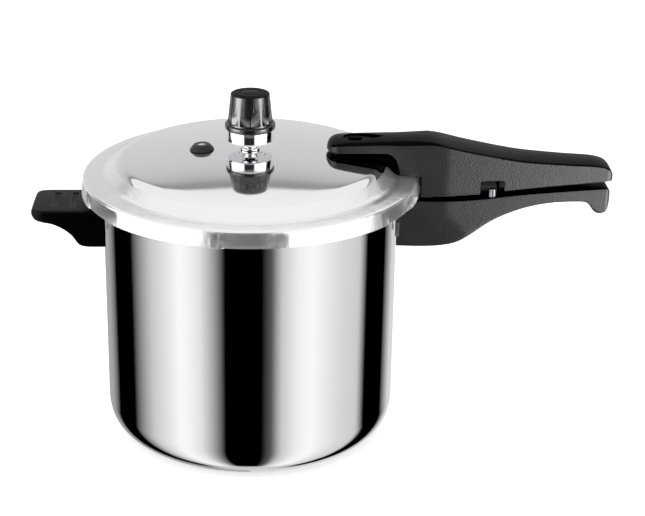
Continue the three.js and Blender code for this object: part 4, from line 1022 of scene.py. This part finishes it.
# Brightness above and behind, by the upward part of the direction.
BACK_WALL = [
    (0.0, 0.72), (0.14, 0.68), (0.38, 0.60), (0.415, 0.57), (0.445, 0.53), (0.474, 0.46), (0.489, 0.35),
    (0.504, 0.27), (0.519, 0.235), (0.522, 0.86), (1.0, 0.9),
]


def share_between(tree, value, low, high):
    limits = {"Value": value, "From Min": low, "From Max": high}
    return add(tree, "ShaderNodeMapRange", limits).outputs["Result"]


def computed(tree, operation, first, second):
    return add(tree, "ShaderNodeMath", {0: first, 1: second}, operation=operation).outputs["Value"]


def studio():
    world = bpy.data.worlds.new("studio")
    bpy.context.scene.world = world
    world.use_nodes = True
    tree = world.node_tree
    direction = add(tree, "ShaderNodeTexCoord").outputs["Generated"]
    split = add(tree, "ShaderNodeSeparateXYZ", {"Vector": direction})
    front = computed(tree, "MULTIPLY", split.outputs["Y"], -1.0)
    turn = computed(tree, "ARCTAN2", split.outputs["X"], front)
    share = share_between(tree, turn, -math.pi, math.pi)
    low_panels = ramp(tree, share, [(0.5 + degrees / 360, shade) for degrees, shade in LOW_PANELS])
    high_panels = ramp(tree, share, [(0.5 + degrees / 360, shade) for degrees, shade in HIGH_PANELS])
    rise = split.outputs["Z"]
    back_wall = ramp(tree, rise, BACK_WALL)
    upward = share_between(tree, rise, 0.46, 0.51)
    backward = share_between(tree, split.outputs["Y"], 0.52, 0.62)
    sky = computed(tree, "MAXIMUM", upward, backward)
    table_grey = (0.15, 0.15, 0.15)
    nadir_grey = (0.62, 0.62, 0.62, 1)
    lifted = add(tree, "ShaderNodeVectorMath", {0: high_panels, 1: table_grey}, operation="MAXIMUM")
    downward = share_between(tree, rise, 0.04, -0.04)
    panels = mix_colours(tree, downward, high_panels, lifted.outputs["Vector"])
    upper = mix_colours(tree, sky, panels, back_wall)
    lower = mix_colours(tree, share_between(tree, rise, -0.95, -0.985), low_panels, nadir_grey)
    colour = mix_colours(tree, share_between(tree, rise, -0.30, -0.25), lower, upper)
    background = tree.nodes["Background"]
    tree.links.new(colour, background.inputs["Color"])
    background.inputs["Strength"].default_value = 1.0


def floor():
    bm = bmesh.new()
    bmesh.ops.create_grid(bm, x_segments=1, y_segments=1, size=6)
    obj = to_object(bm, "studio_floor")
    pale = material("pale_floor", "#ffffff", 0.0, 0.9, Emission_Color=(1, 1, 1, 1), Emission_Strength=0.3)[0]
    obj.data.materials.append(pale)
    obj.visible_glossy = False
    obj.visible_shadow = False
    obj.location.z = -0.0004


def camera():
    """A long lens, a little above the lid, with the object left of the middle of the picture."""
    elevation = math.radians(22.38)
    distance = 1.2824
    target = Vector((0, 0, 0.13466))
    picture_width = 645
    focal_length = 1653.74  # on the scale of the picture's width
    pot_across = 250.2  # from the picture's left edge, on the same scale
    data = bpy.data.cameras.new("camera")
    data.sensor_width = 36
    data.lens = data.sensor_width * focal_length / picture_width
    data.shift_x = (picture_width / 2 - pot_across) / picture_width
    data.clip_end = 50
    obj = bpy.data.objects.new("camera", data)
    obj.location = target + distance * Vector((0, -math.cos(elevation), math.sin(elevation)))
    obj.rotation_euler = (math.pi / 2 - elevation, 0, 0)
    bpy.context.scene.collection.objects.link(obj)
    bpy.context.scene.camera = obj


def softbox(name, aim, turn, rise, distance, width, height, brightness, receivers=None):
    """An even area light that faces a point from a compass direction, and may light only some pieces."""
    turn = math.radians(turn)
    rise = math.radians(rise)
    data = bpy.data.lights.new(name, "AREA")
    data.shape = "RECTANGLE"
    data.size = width
    data.size_y = height
    data.energy = brightness * math.pi * width * height
    obj = bpy.data.objects.new(name, data)
    away = Vector((math.sin(turn) * math.cos(rise), -math.cos(turn) * math.cos(rise), math.sin(rise)))
    obj.location = Vector(aim) + distance * away
    obj.rotation_euler = away.to_track_quat("Z", "Y").to_euler()
    obj.visible_camera = False
    bpy.context.scene.collection.objects.link(obj)
    if receivers:
        lit = bpy.data.collections.new(name + "_lit")
        for receiver in receivers:
            lit.objects.link(receiver)
        obj.light_linking.receiver_collection = lit
    return obj


studio()
floor()
camera()
lid_middle = (0, 0, 0.2)
grip_middle = (0.21, 0, 0.18)
cap_middle = (0, 0, 0.25)
overhead = softbox("overhead_softbox", lid_middle, turn=60, rise=80, distance=1.9,
                   width=1.6, height=1.2, brightness=2)
overhead.visible_glossy = False
softbox("lid_grip_softbox", grip_middle, turn=42, rise=-20, distance=1.0,
        width=0.62, height=0.5, brightness=11, receivers=[lid_grip])
softbox("pot_grip_softbox", grip_middle, turn=42, rise=-20, distance=1.0,
        width=0.62, height=0.5, brightness=9, receivers=[pot_grip])
softbox("cap_softbox_left", cap_middle, turn=-68, rise=-11, distance=1.5,
        width=0.9, height=0.8, brightness=7, receivers=[cap_body])
softbox("cap_softbox_right", cap_middle, turn=60, rise=-11, distance=1.5,
        width=0.6, height=0.8, brightness=7, receivers=[cap_body])
view = bpy.context.scene.view_settings
view.view_transform = "Standard"
view.use_curve_mapping = True
view.curve_mapping.black_level = (0.004, 0.004, 0.004)
view.curve_mapping.white_level = (0.95, 0.95, 0.95)
